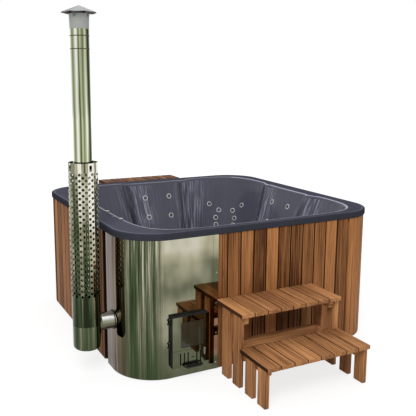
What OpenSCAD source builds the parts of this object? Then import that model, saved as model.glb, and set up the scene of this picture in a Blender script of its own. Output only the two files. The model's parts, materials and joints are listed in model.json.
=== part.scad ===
// Square wood-burning hot tub with timber steps and an equipment box.
// Millimetres. Origin on the ground under the middle of the tub, front towards -Y, up is +Z.

/* [Tub] */
// Outside width and depth of the timber jacket
tub_w = 2074; // [2040:1:2200]
// Height of the rim above the ground
tub_h = 1000; // [980:1:1060]
// Outside radius of the jacket corners
corner_r = 303; // [270:1:330]
// How far the rim stands out past the jacket
rim_over = 9; // [4:1:20]
// Height of the rim's outer lip
lip_h = 44; // [30:1:55]
// Width of a jacket board
board_w = 95; // [80:1:100]
// Gap between two jacket boards
board_gap = 8.6; // [5:0.1:14]
// Thickness of a jacket board
board_t = 20; // [16:1:25]
// Gap under the jacket boards
ground_gap = 5; // [2:1:20]

/* [Basin] */
// Width of the deck on the left, from the jacket face to the water
left_deck = 172; // [150:1:220]
// Width of the ledge at the front
front_ledge = 62; // [58:1:90]
// Width of the ledge at the back
back_ledge = 87; // [75:1:120]
// Width of the ledge on the right
right_ledge = 100; // [80:1:130]
// Lean of the basin walls from upright, in degrees
wall_lean = 20; // [14:0.5:22]
// Height of the seats above the ground
seat_z = 480; // [478:1:490]
// Height of the foot well floor above the ground
floor_z = 121; // [121:1:160]
// Thickness of the moulding
shell_t = 8; // [6:0.5:8]
// How far the middle backrest stands in from the corner seats
back_seat_in = 62; // [20:1:80]
// How far the right backrest stands in from the corner seats
right_seat_in = 40; // [20:1:60]
// Depth of the ribs between the seats
rib_in = 30; // [10:1:40]
// Outside diameter of a jet ring
jet_d = 48; // [40:1:56]

/* [Stove] */
// Left edge of the stove door, from the middle of the tub
door_x = -744; // [-750:1:-740]
// Width of the stove door
door_w = 271; // [260:1:280]
// Bottom edge of the ash drawer front above the ground
door_z = 86; // [80:1:92]
// Height of the ash drawer front
drawer_h = 117; // [112:1:122]
// Height of the stove door above the drawer front
door_h = 235; // [225:1:240]
// How far the door stands proud of the steel
door_t = 40; // [32:1:50]
// Width of the door glass that shows
glass_w = 175; // [150:1:190]
// Height of the door glass that shows
glass_h = 178; // [150:1:186]
// Where the steel cover ends on the front, from the middle
steel_x = -384; // [-388:1:-375]
// Where the steel cover ends on the left side, from the middle
steel_y = -630; // [-640:1:-625]
// Thickness of the steel cover
steel_t = 2; // [1:0.1:3]

/* [Chimney] */
// Outside diameter of the flue pipe
flue_d = 118; // [110:1:124]
// Height of the flue pipe that leaves the side
flue_z = 370; // [366:1:374]
// Distance of the chimney from the side of the tub
chimney_gap = 180; // [150:1:230]
// Chimney's distance from the middle of the tub, along the side
chimney_y = -745; // [-760:1:-735]
// Outside diameter of the heat shield
shield_d = 190; // [180:1:210]
// Height of the heat shield's top above the ground
shield_top = 1454; // [1400:1:1500]
// Height of the upper bead on the chimney
bead_top = 2237; // [2200:1:2300]
// Diameter of the shield's holes
hole_d = 18.5; // [12:0.5:19]
// Number of holes in each row
holes_round = 14; // [10:2:14]
// Height of the rain cap above the chimney's end
cap_rise = 142; // [120:1:180]
// Diameter of the rain cap's roof
roof_d = 218; // [190:1:260]

/* [Steps] */
// Width of the steps
steps_w = 794; // [700:1:900]
// Height of the lower tread's top
low_tread_z = 272; // [240:1:290]
// Height of the upper tread's top
top_tread_z = 505; // [470:1:540]
// Thickness of a tread board
tread_t = 27; // [20:1:35]
// Number of boards in a tread
tread_boards = 8; // [6:1:10]
// Thickness of a leg board
leg_t = 31; // [24:1:38]
// Width of a leg board
leg_w = 85; // [75:1:92]
// Width of the rails under the treads
rail_w = 42; // [30:1:50]
// Height of the rails under the treads
rail_h = 55; // [45:1:70]

/* [Equipment box] */
// Left end of the box, from the middle of the tub
box_x = -449; // [-520:1:-420]
// Width of the box
box_w = 794; // [760:1:860]
// Depth of the box, away from the tub
box_d = 235; // [225:1:320]
// Thickness of the lid boards
lid_t = 20; // [16:1:28]

/* [Hidden] */
$fn = 64;
fine = 96;
// A small overlap that lets cutters break through cleanly.
eps = 1;
// Gap between moving parts that don't touch.
gap = 0.3;
// Radial clearance of a running fit.
fit = 0.05;
half = tub_w / 2;
rim_half = half + rim_over;
rim_z = tub_h - lip_h;
inner = half - board_t;
frame_d = 40;
frame_h = 45;
base_h = 95;
panel_t = 18;
frame_in = inner - frame_d;
inner_r = corner_r - board_t;
pitch = board_w + board_gap;
straight = half - corner_r;
mid_z = 490;
post_w = 70;
joist_w = 45;
// How deep one timber is let into the next.
housing = 3;

// The corner that holds the stove is kept free of timber.
body_x0 = -805;
body_x1 = -430;
body_y0 = -half + 67;
body_y1 = -625;
stove_x1 = body_x1 + 2;
stove_y1 = steel_y + 10;
left_board_y = steel_y + 65;
post_stove_x = steel_x - 11;
post_stove_y = steel_y + 45;
post_end = straight - 34;
front_posts = [post_stove_x, -20, 350, post_end];
side_posts = [-post_end, -250, 250, post_end];
left_posts = [post_stove_y, -150, 250, post_end];
joists = [-300, 0, 300, 600, 850];
short_joists = [-620, -850];

// Basin: the mouth is a rounded outline about its own middle, drawn by its radius at each bearing.
m_x0 = -half + left_deck;
m_x1 = half - right_ledge;
m_y0 = -half + front_ledge;
m_y1 = half - back_ledge;
m_cx = (m_x0 + m_x1) / 2;
m_cy = (m_y0 + m_y1) / 2;
m_hx = (m_x1 - m_x0) / 2;
m_hy = (m_y1 - m_y0) / 2;
well_hx = 380;
well_hy = 400;
mouth_power = 6;
well_power = 4;
steps_round = 120;
back_bearing = 90.7;
back_spread = 16.5;
right_bearing = -0.5;
right_spread = 19.5;
rib_bearings = [107.7, 73.8, 21, -20.2];
rib_spread = 2.5;
rim_round = 10;
lean = tan(wall_lean);

half_turn = 180;
function turn(d) = d > half_turn ? d - 2 * half_turn : d < -half_turn ? d + 2 * half_turn : d;
function bump(a, at, spread, power) = 1 / (1 + pow(abs(turn(a - at)) / spread, power));
function oval(a, hx, hy, power) =
    pow(pow(abs(cos(a)) / hx, power) + pow(abs(sin(a)) / hy, power), -1 / power);
function ribs(a, i = 0) =
    i == len(rib_bearings) ? 0 : bump(a, rib_bearings[i], rib_spread, 4) + ribs(a, i + 1);
function mouth(a) = oval(a, m_hx, m_hy, mouth_power)
    - back_seat_in * bump(a, back_bearing, back_spread, 8)
    - right_seat_in * bump(a, right_bearing, right_spread, 8)
    - rib_in * ribs(a);
function well(a) = oval(a, well_hx, well_hy, well_power);
// How far the wall has moved in at a given height.
function wall_in(z) = 2 + (tub_h - 12 - z) * lean;
// Radius of the rim's outline at a bearing from the mouth's middle.
function side_hit(c, d, h) = abs(d) < 0.000001 ? 1000000 : ((d > 0 ? h : -h) - c) / d;
function rim_side(a, h) = min(side_hit(m_cx, cos(a), h), side_hit(m_cy, sin(a), h));
function arc_b(a, kx, ky) = (kx - m_cx) * cos(a) + (ky - m_cy) * sin(a);
function arc_c(kx, ky, r) = pow(kx - m_cx, 2) + pow(ky - m_cy, 2) - r * r;
function arc_hit(a, kx, ky, r) = arc_b(a, kx, ky)
    + sqrt(max(0, pow(arc_b(a, kx, ky), 2) - arc_c(kx, ky, r)));
function rim(a, h, r) =
    let (t = rim_side(a, h), x = m_cx + t * cos(a), y = m_cy + t * sin(a), k = h - r)
    (abs(x) > k && abs(y) > k) ? arc_hit(a, sign(x) * k, sign(y) * k, r) : t;

// Outline kinds of the loft: the rim, the mouth and the foot well.
RIM = 0;
MOUTH = 1;
WELL = 2;
rim_r = corner_r + rim_over;
function outline(kind, inset, a) =
    kind == RIM ? rim(a, rim_half - inset, rim_r - inset)
    : kind == MOUTH ? mouth(a) - inset
    : well(a) - inset;
seat_foot = seat_z + 30;
well_slope = 60;
loft = [
    [RIM, 0, rim_z],
    [RIM, 0, tub_h - rim_round],
    [RIM, rim_round * 0.3, tub_h - rim_round * 0.3],
    [RIM, rim_round, tub_h],
    [MOUTH, -10, tub_h],
    [MOUTH, -3, tub_h - 3],
    [MOUTH, 2, tub_h - 12],
    [MOUTH, wall_in(seat_foot), seat_foot],
    [MOUTH, wall_in(seat_foot) + 12, seat_z + 8],
    [MOUTH, wall_in(seat_foot) + 36, seat_z],
    [WELL, 0, seat_z],
    [WELL, 12, seat_z - 4],
    [WELL, 20, seat_z - 16],
    [WELL, well_slope, floor_z + 24],
    [WELL, well_slope + 8, floor_z + 6],
    [WELL, well_slope + 28, floor_z],
    [WELL, well_slope + 28, floor_z - shell_t],
    [WELL, well_slope + 2, floor_z - shell_t + 4],
    [WELL, well_slope - shell_t, floor_z + 20],
    [WELL, 20 - shell_t, seat_z - shell_t - 14],
    [WELL, 8 - shell_t, seat_z - shell_t],
    [MOUTH, wall_in(seat_foot) + 36 - shell_t, seat_z - shell_t],
    [MOUTH, wall_in(seat_foot) + 10 - shell_t, seat_z + 2 - shell_t],
    [MOUTH, wall_in(seat_foot) - shell_t, seat_foot],
    [MOUTH, wall_in(rim_z) - shell_t, rim_z]
];
rings = len(loft);
function bearing(j) = j * 360 / steps_round - 180;
function loft_point(i, j) =
    let (a = bearing(j), r = outline(loft[i][0], loft[i][1], a))
    [m_cx + r * cos(a), m_cy + r * sin(a), loft[i][2]];
floor_ring = 15;

function wall_point(a, z) =
    [m_cx + (mouth(a) - wall_in(z)) * cos(a), m_cy + (mouth(a) - wall_in(z)) * sin(a), z];
// Bearing in which the wall faces outwards, read from two neighbouring points.
function wall_bearing(a, z) =
    let (p = wall_point(a - 2, z), q = wall_point(a + 2, z))
    atan2(p[0] - q[0], q[1] - p[1]);

// Each jet has a bearing, a height, and how far along the main its hose lands.
jet_rows = [[862, 30], [685, -30]];
backrest_jets = [for (a = [84.4, 100.9]) for (row = jet_rows) [a, row[0], row[1]]];
right_jets = [for (a = [-5.9, 11.2]) for (row = jet_rows) [a, row[0], row[1]]];
corner_bearing = 49;
corner_rows = [[9.1, 742, 160], [3.8, 678, 40], [5.3, 607, 120], [4.9, 540, 80]];
corner_jets = [for (row = corner_rows) for (s = [-1, 1]) [corner_bearing + s * row[0], row[1], -s * row[2]]];
jet_list = concat(backrest_jets, right_jets, corner_jets);
jet_sink = 1.5;
jet_body_r = 17;
jet_tail = 60;
jet_hole_r = 9;
hose_r = 10;
main_r = 25;
main_z = 430;
main_off = half - 157;
main_cut = 260;

// Stove body and its neck.
neck_t = 6;
neck_in = 12;
hinge_x = door_x - 7;
hinge_y = -half - 10;
pin_r = 3;
knuckle_r = 6.5;
knuckle_h = 20;
neck_x0 = door_x + 6;
neck_x1 = door_x + door_w - 6;
neck_z0 = door_z + 6;
neck_z1 = door_z + drawer_h + door_h - 14;
body_z0 = 45;
body_z1 = 462;
wall_t = 4;
jacket_t = 30;
grate_z = door_z + drawer_h - 5;
door_mid = door_x + door_w / 2;
drawer_top = door_z + drawer_h;
door_bottom = drawer_top + 2;
door_top = drawer_top + door_h;
door_back = -half - gap;
door_front = -half - door_t;
glass_z = door_bottom + 15;
glass_t = 4;
plate_t = 4;
slot_w = 8;
slot_h = 84;
slot_z = door_z + 15;
slot_mid = door_mid + 11;
slot_offsets = [32.5, 60.5, 88.5];
slide_travel = 14;
slide_half = 102;
stub_x = slot_mid + 10;
stub_z = slot_z + 45;
stub_r = 2;
tray_x0 = neck_x0 + neck_t + 8;
tray_x1 = neck_x1 - neck_t - 8;
tray_z0 = neck_z0 + neck_t + gap;
tray_z1 = drawer_top - 24;
tray_back = body_y1 - 55;
latch_x = slot_mid + 88.5;
latch_z = drawer_top - 10;
latch_len = 42;
latch_pin_r = 4;
grip_z = door_z + 9;
grip_y = door_front - 25;
grip_x0 = slot_mid - 60;
grip_x1 = slot_mid + 60;
grip_rod_r = 4;
grip_r = 12;
coil_wire = 1.6;
coil_r = grip_r - coil_wire;
coil_turns = 20;
coil_x0 = grip_x0 + 5;
coil_pitch = (grip_x1 - grip_x0 - 10) / coil_turns;

// Chimney.
chimney_x = -half - chimney_gap;
flue_r = flue_d / 2;
flue_wall = 2;
shield_r = shield_d / 2;
shield_t = 2;
cap_seam = flue_z + 5;
soot_z = cap_seam - 170;
tee_z = flue_z - flue_r - 12;
tee_top = shield_top - 60;
holes_rise = 200;
holes_z0 = cap_seam + holes_rise;
holes_z1 = shield_top - 70;
row_pitch = 19;
hole_rows = floor((holes_z1 - holes_z0) / row_pitch);
holes_end = holes_z0 + (hole_rows + 1) * row_pitch;
branch_end = chimney_x + shield_r - 6;
bead_low = bead_top - 79;
pipe_end = bead_top + 41;
collar_h = cap_rise - 52;
roof_z = pipe_end + cap_rise - 42;
cap_r0 = flue_r;
cap_r1 = flue_r + 4;

// Steps: depths are measured from the tub's face to the back of each pair of legs.
steps_gap = 4;
nosing = 25;
leg_off = [84, 225, 379, 523];
tread_gap = 5;
tread_w = (steps_w - tread_gap * (tread_boards - 1)) / tread_boards;
low_front = -half - leg_off[3] - leg_w - nosing;
low_back = -half - leg_off[1] - leg_w - 3;
top_front = -half - leg_off[1] - leg_w - nosing;
top_back = -half - steps_gap;
batten_in = 100;
batten_w = 45;
batten_h = 18;

// Equipment box.
box_h = tub_h;
box_z1 = box_h - lid_t - gap;
box_y0 = rim_half + 1;
box_y1 = box_y0 + box_d;
box_x1 = box_x + box_w;
hinge_lid_y = rim_half + 10;
lid_y0 = hinge_lid_y + 10;
box_boards = 7;
box_pitch = box_w / box_boards;
box_gap = 9;
leg_s = 45;
wall_b = 18;
box_floor = 56;
lid_pin_r = 4;
lid_knuckle_l = 40;
lid_hinges_x = [box_x + 150, box_x1 - 190];

// Pump and pipework.
pipe_r = 25;
pump_x = -40;
pump_y = half + 113;
pump_z = 200;
pump_r = 72;
suction_x = -155;
suction_lead = 60;
suction_turn = main_off - 120;
press_x = pump_x - 35;
main_x0 = -200;
main_y1 = -200;

// Shared shapes.

module rounded_plate(h, r) {
    square([2 * (h - r), 2 * h], center = true);
    square([2 * h, 2 * (h - r)], center = true);
    for (sx = [-1, 1])
        for (sy = [-1, 1])
            translate([sx * (h - r), sy * (h - r)]) circle(r, $fn = fine);
}

module ring(h, r, d, z0, z1) {
    translate([0, 0, z0])
        difference() {
            linear_extrude(z1 - z0) rounded_plate(h, r);
            translate([0, 0, -eps]) linear_extrude(z1 - z0 + 2 * eps) rounded_plate(h - d, r - d);
        }
}

module block(lo, hi) {
    translate(lo) cube(hi - lo);
}

module pipe(r, t, l) {
    difference() {
        cylinder(r = r, h = l);
        translate([0, 0, -eps]) cylinder(r = r - t, h = l + 2 * eps);
    }
}

module rod_between(p, q, r) {
    d = q - p;
    translate(p)
        rotate([0, acos(d[2] / norm(d)), atan2(d[1], d[0])])
            cylinder(r = r, h = norm(d));
}

module stove_zone(z0, z1) {
    block([-half - 20, -half - 20, z0], [stove_x1, stove_y1, z1]);
}

// Base and frame.

module ring_beam() {
    union()
        difference() {
            ring(inner, inner_r, frame_d, 0, base_h);
            stove_zone(-eps, base_h + eps);
            translate([drain_x, frame_in - eps, drain_z])
                rotate([-90, 0, 0]) cylinder(r = drain_r + 2, h = frame_d + 2 * eps);
        }
}

// Where a joist meets the inside of the base ring, which is round in the corners.
function ring_reach(x) =
    let (k = abs(x) + joist_w / 2 - straight)
    (k > 0 ? straight + sqrt(pow(inner_r - frame_d, 2) - k * k) : frame_in) + housing;

module joist_set() {
    trimmer = stove_y1 + joist_w;
    union() {
        for (x = joists)
            block([x - joist_w / 2, -ring_reach(x), 0], [x + joist_w / 2, ring_reach(x), base_h]);
        for (x = short_joists)
            block([x - joist_w / 2, trimmer - housing, 0], [x + joist_w / 2, ring_reach(x), base_h]);
        block([-frame_in - housing, stove_y1, 0], [joists[0] - joist_w / 2 + housing, trimmer, base_h]);
        block([body_x1 + 5, -frame_in - housing, 0], [body_x1 + 5 + joist_w, stove_y1 + housing, base_h]);
    }
}

module base_panel() {
    color("burlywood")
        difference() {
            translate([0, 0, base_h]) linear_extrude(panel_t) rounded_plate(frame_in, inner_r - frame_d);
            stove_zone(base_h - eps, base_h + panel_t + eps);
            translate([drain_x, drain_y, base_h - eps]) cylinder(r = drain_r + 3, h = panel_t + 2 * eps);
        }
}

module post(x, y, wx, wy) {
    block([x - wx / 2, y - wy / 2, base_h], [x + wx / 2, y + wy / 2, rim_z - frame_h]);
}

module post_set() {
    mid = inner - frame_d / 2;
    union() {
        for (x = front_posts)
            post(x, -mid, post_w, frame_d);
        for (x = side_posts)
            post(x, mid, post_w, frame_d);
        for (y = side_posts)
            post(mid, y, frame_d, post_w);
        for (y = left_posts)
            post(-mid, y, frame_d, post_w);
    }
}

module nogging_set() {
    union()
        difference() {
            ring(inner, inner_r, frame_d, mid_z, mid_z + frame_h);
            for (x = front_posts)
                block([x - post_w / 2, -half, mid_z - eps], [x + post_w / 2, -frame_in + eps, mid_z + frame_h + eps]);
            for (x = side_posts)
                block([x - post_w / 2, frame_in - eps, mid_z - eps], [x + post_w / 2, half, mid_z + frame_h + eps]);
            for (y = side_posts)
                block([frame_in - eps, y - post_w / 2, mid_z - eps], [half, y + post_w / 2, mid_z + frame_h + eps]);
            for (y = left_posts)
                block([-half, y - post_w / 2, mid_z - eps], [-frame_in + eps, y + post_w / 2, mid_z + frame_h + eps]);
        }
}

module top_ring() {
    color("tan") {
        ring(inner, inner_r, frame_d, rim_z - frame_h, rim_z);
        intersection() {
            ring(half - steel_t, corner_r - steel_t, board_t - steel_t, rim_z - frame_h, rim_z);
            block([-half, -half, rim_z - frame_h], [steel_x, steel_y - steel_t, rim_z]);
        }
    }
}

module base_frame() {
    color("tan") {
        ring_beam();
        joist_set();
    }
}

module wall_frame() {
    color("tan") {
        post_set();
        nogging_set();
    }
}

// The tub moulding.

module shell_solid() {
    points = [for (i = [0:rings - 1]) for (j = [0:steps_round - 1]) loft_point(i, j)];
    sides = [
        for (i = [0:rings - 1])
            for (j = [0:steps_round - 1])
                if (i != floor_ring)
                    let (i2 = (i + 1) % rings, j2 = (j + 1) % steps_round)
                    each [
                        [i * steps_round + j, i * steps_round + j2, i2 * steps_round + j2],
                        [i * steps_round + j, i2 * steps_round + j2, i2 * steps_round + j]
                    ]
    ];
    top_cap = [for (j = [0:steps_round - 1]) floor_ring * steps_round + j];
    low_cap = [for (j = [steps_round - 1:-1:0]) (floor_ring + 1) * steps_round + j];
    polyhedron(points = points, faces = concat(sides, [top_cap, low_cap]));
}

module at_jet(p) {
    w = wall_point(p[0], p[1]);
    translate(w) rotate([0, 90 + wall_lean, wall_bearing(p[0], p[1])]) children();
}

deck_knobs = [[-half + left_deck - 22, -244], [-half + left_deck - 22, -533]];
knob_r = 14;
knob_h = 12;
stem_r = 6;
stem_l = 56;

// Foot well wall: its lean, a point on it, and a frame that faces out through it.
well_top = seat_z - 16;
well_low = floor_z + 24;
well_lean = atan((well_slope - 20) / (well_top - well_low));
function well_in(z) = 20 + (well_top - z) / (well_top - well_low) * (well_slope - 20);
function well_point(a, z) =
    [m_cx + (well(a) - well_in(z)) * cos(a), m_cy + (well(a) - well_in(z)) * sin(a), z];
module at_well(a, z) {
    translate(well_point(a, z)) rotate([0, 90 + well_lean, a]) children();
}

suction_bearing = 104;
suction_z = 200;
heat_bearing = 225;
heat_z = [190, 400];
well_bores = [[suction_bearing, suction_z, 26, 48], [heat_bearing, heat_z[0], 18, 26], [heat_bearing, heat_z[1], 18, 26]];
drain_x = min(box_x1 - 120, joists[2] - 50);
drain_y = 100;
drain_z = 76;
drain_r = 15;

module acrylic_shell() {
    color("dimgray")
        difference() {
            shell_solid();
            for (p = jet_list)
                at_jet(p) {
                    translate([0, 0, -jet_sink - 12]) cylinder(r = jet_d / 2 + 1, h = 12 + 2 * jet_sink, $fn = 32);
                    translate([0, 0, -20]) cylinder(r = jet_body_r + 0.5, h = 60, $fn = 32);
                }
            for (b = well_bores)
                at_well(b[0], b[1]) {
                    translate([0, 0, -20]) cylinder(r = b[2], h = 60, $fn = 32);
                    translate([0, 0, -20]) cylinder(r = b[3], h = 20 + jet_sink, $fn = 32);
                }
            translate([drain_x, drain_y, floor_z - 30]) cylinder(r = drain_r + 1, h = 60, $fn = 32);
            for (k = deck_knobs)
                translate([k[0], k[1], rim_z - 20]) cylinder(r = stem_r + fit, h = lip_h + 40, $fn = 32);
        }
}

// Jacket boards.

module board_x(x0, x1, y0) {
    block([x0, y0, ground_gap], [x1, y0 + board_t, rim_z]);
}

module board_y(y0, y1, x0) {
    block([x0, y0, ground_gap], [x0 + board_t, y1, rim_z]);
}

last_board = floor(straight / pitch) - 1;
first_front = ceil(steel_x / pitch);
first_left = ceil(left_board_y / pitch);

module cladding_front() {
    color("peru") {
        for (k = [first_front:last_board])
            board_x(k * pitch + board_gap / 2, (k + 1) * pitch - board_gap / 2, -half);
        board_x(steel_x + 1, first_front * pitch - board_gap / 2, -half);
    }
}

module cladding_right() {
    color("peru")
        for (k = [-last_board - 1:last_board])
            board_y(k * pitch + board_gap / 2, (k + 1) * pitch - board_gap / 2, inner);
}

module cladding_back() {
    color("peru")
        difference() {
            for (k = [-last_board - 1:last_board])
                board_x(k * pitch + board_gap / 2, (k + 1) * pitch - board_gap / 2, inner);
            for (p = [[suction_x, suction_z, pipe_r], [press_x, main_z, pipe_r], [drain_x, drain_z, drain_r]])
                translate([p[0], half + eps, p[1]])
                    rotate([90, 0, 0]) cylinder(r = p[2] + 3, h = board_t + 2 * eps);
        }
}

module cladding_left() {
    color("peru") {
        for (k = [first_left:last_board])
            board_y(k * pitch + board_gap / 2, (k + 1) * pitch - board_gap / 2, -half);
        board_y(left_board_y, first_left * pitch - board_gap / 2, -half);
    }
}

slat_count = 9;
slat_w = 2 * (corner_r - board_t) * tan(90 / slat_count / 2) - 4;

module corner_slats() {
    color("sienna")
        for (c = [[1, -1, -90], [1, 1, 0], [-1, 1, 90]])
            for (k = [0:slat_count - 1])
                translate([c[0] * straight, c[1] * straight, ground_gap])
                    rotate([0, 0, c[2] + (k + 0.5) * 90 / slat_count])
                        translate([inner_r, -slat_w / 2, 0]) cube([board_t, slat_w, rim_z - ground_gap]);
}

// Steel cover round the stove corner.

hole_gap = 1;

module steel_cover() {
    color("silver")
        difference() {
            union() {
                intersection() {
                    ring(half, corner_r, steel_t, ground_gap, rim_z);
                    block([-half - eps, -half - eps, ground_gap], [steel_x, steel_y, rim_z]);
                }
                block([-half, steel_y - steel_t, ground_gap], [-inner - 3, steel_y, rim_z]);
            }
            block([neck_x0 - hole_gap, -half - eps, neck_z0 - hole_gap],
                  [neck_x1 + hole_gap, -half + steel_t + eps, neck_z1 + hole_gap]);
            translate([-half - eps, chimney_y, flue_z])
                rotate([0, 90, 0]) cylinder(r = flue_r + hole_gap, h = board_t);
        }
}

strip_w = 40;
strip_t = 1.5;
screw_top = rim_z - 49;
screw_low = 53;
screw_pitch = (screw_top - screw_low) / 4;
cover_screw_x = steel_x - 16;

module cover_trims() {
    color("dimgray") {
        block([steel_x - strip_w, -half - strip_t, ground_gap], [steel_x, -half, rim_z]);
        block([-inner - 3, steel_y, ground_gap], [-inner, left_board_y - 1, rim_z]);
    }
}

module cover_screws() {
    color("gray")
        for (k = [0:4])
            translate([cover_screw_x, -half - strip_t, screw_top - k * screw_pitch])
                rotate([90, 0, 0]) cylinder(r = 5, h = 2);
}

// Stove.

module stove_stand() {
    foot = 40;
    color("black") {
        for (x = [body_x0 + 20, body_x1 - 20 - foot])
            for (y = [body_y0 + 20, body_y1 - 20 - foot])
                block([x, y, 0], [x + foot, y + foot, body_z0 - 6]);
        difference() {
            block([body_x0, body_y0, body_z0 - 6], [body_x1, body_y1, body_z0]);
            block([body_x0 + 70, body_y0 + 70, body_z0 - 7], [body_x1 - 70, body_y1 - 70, body_z0 + 1]);
        }
    }
}

port_r = 17;
port_x = body_x1 - 60;
ledge = 12;

module stove_body() {
    color("slategray")
        difference() {
            union() {
                difference() {
                    block([body_x0, body_y0, body_z0], [body_x1, body_y1, body_z1]);
                    block([body_x0 + wall_t, body_y0 + wall_t, body_z0 + wall_t],
                          [body_x1 - wall_t, body_y1 - wall_t, body_z1 - wall_t]);
                }
                block([body_x0 + jacket_t - wall_t, body_y0, body_z0 + jacket_t - wall_t],
                      [body_x1 - jacket_t + wall_t, body_y1 - jacket_t + wall_t, body_z1 - jacket_t + wall_t]);
                translate([body_x0, chimney_y, flue_z])
                    rotate([0, 90, 0]) cylinder(r = flue_r + wall_t, h = jacket_t);
                translate([body_x0 - 20, chimney_y, flue_z])
                    rotate([0, 90, 0]) cylinder(r = flue_r + wall_t, h = 21);
            }
            difference() {
                block([body_x0 + jacket_t, body_y0 - eps, body_z0 + jacket_t],
                      [body_x1 - jacket_t, body_y1 - jacket_t, body_z1 - jacket_t]);
                for (x = [body_x0 + jacket_t, body_x1 - jacket_t - ledge])
                    block([x, body_y0 + 10, grate_z - 8], [x + ledge, body_y1 - jacket_t, grate_z]);
            }
            translate([body_x0 - 21, chimney_y, flue_z])
                rotate([0, 90, 0]) cylinder(r = flue_r - flue_wall, h = jacket_t + 30);
            translate([body_x0 - 21, chimney_y, flue_z])
                rotate([0, 90, 0]) cylinder(r = flue_r + fit, h = 21);
            for (z = heat_z)
                translate([port_x, body_y1 - wall_t - eps, z])
                    rotate([-90, 0, 0]) cylinder(r = port_r, h = wall_t + 2 * eps);
        }
}

module stove_neck() {
    color("darkslategray") {
        difference() {
            block([neck_x0, -half, neck_z0], [neck_x1, body_y0, neck_z1]);
            block([neck_x0 + neck_t, -half - eps, neck_z0 + neck_t],
                  [neck_x1 - neck_t, body_y0 + eps, neck_z1 - neck_t]);
        }
        difference() {
            block([neck_x0 - 18, body_y0 - 6, neck_z0 - 18], [neck_x1 + 18, body_y0, neck_z1 + 18]);
            block([neck_x0, body_y0 - 7, neck_z0], [neck_x1, body_y0 + eps, neck_z1]);
        }
    }
}

module fire_grate() {
    x0 = body_x0 + jacket_t + 2;
    x1 = body_x1 - jacket_t - 2;
    y0 = body_y0 + 14;
    y1 = body_y1 - jacket_t - 2;
    bars = 12;
    bar_pitch = (x1 - x0 - 20) / bars;
    color("dimgray")
        difference() {
            block([x0, y0, grate_z], [x1, y1, grate_z + 10]);
            for (k = [0:bars - 1])
                block([x0 + 16 + k * bar_pitch, y0 + 14, grate_z - eps],
                      [x0 + 10 + (k + 0.5) * bar_pitch + 4, y1 - 14, grate_z + 11]);
        }
}

knuckle_z = [door_bottom + 35, door_top - 35];

module door_hinges() {
    ear_h = 8;
    color("black")
        for (z = knuckle_z)
            for (s = [-1, 1])
                translate([hinge_x, hinge_y, z + s * (knuckle_h / 2 + ear_h / 2 + 1) - ear_h / 2])
                    difference() {
                        union() {
                            cylinder(r = knuckle_r, h = ear_h);
                            translate([-3.5, 0, 0]) cube([7, 10, ear_h]);
                            translate([-14, 8, 0]) cube([20, 2, ear_h]);
                        }
                        translate([0, 0, -eps]) cylinder(r = pin_r, h = ear_h + 2 * eps);
                    }
}

module hinge_pins() {
    color("silver")
        for (z = knuckle_z)
            translate([hinge_x, hinge_y, z - 20]) {
                cylinder(r = pin_r, h = 39);
                translate([0, 0, 39]) cylinder(r = pin_r + 1.5, h = 2);
            }
}

module stove_door() {
    rim_w = 14;
    gx0 = slot_mid - glass_w / 2;
    gx1 = slot_mid + glass_w / 2;
    color("darkgray")
        difference() {
            union() {
                block([door_x, door_front, door_bottom], [door_x + door_w, door_back, door_top]);
                for (z = knuckle_z)
                    translate([hinge_x, hinge_y, z - knuckle_h / 2]) {
                        cylinder(r = knuckle_r, h = knuckle_h);
                        translate([0, -knuckle_r, 0]) cube([10, 2 * knuckle_r, knuckle_h]);
                    }
            }
            for (z = knuckle_z)
                translate([hinge_x, hinge_y, z - knuckle_h / 2 - eps])
                    cylinder(r = pin_r + fit, h = knuckle_h + 2 * eps);
            block([gx0, door_front - eps, glass_z], [gx1, door_back + eps, glass_z + glass_h]);
            block([gx0 - 8, door_front + plate_t, glass_z - 8],
                  [gx1 + 8, door_back + eps, min(glass_z + glass_h + 8, door_top - 10)]);
        }
}

module door_glass() {
    gx0 = slot_mid - glass_w / 2;
    color("darkslategray")
        block([gx0 - 7, door_front + plate_t, glass_z - 7],
              [gx0 + glass_w + 7, door_front + plate_t + glass_t, min(glass_z + glass_h + 7, door_top - 11)]);
}

module glass_clips() {
    gx0 = slot_mid - glass_w / 2;
    y0 = door_front + plate_t + glass_t;
    color("silver")
        for (x = [gx0 - 8, gx0 + glass_w - 8])
            for (z = [glass_z + 30, glass_z + glass_h - 50])
                block([x, y0, z], [x + 16, y0 + 3, z + 20]);
}

module latch_lever() {
    y0 = door_front - 3;
    color("silver") {
        translate([latch_x, y0 - 4, latch_z]) rotate([-90, 0, 0]) cylinder(r = 7, h = 4);
        translate([latch_x, y0, latch_z])
            rotate([-90, 0, 0]) cylinder(r = latch_pin_r, h = door_front + plate_t - gap - y0);
        block([latch_x - 4, y0 - 4, latch_z - latch_len], [latch_x + 4, y0, latch_z]);
    }
}

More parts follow.
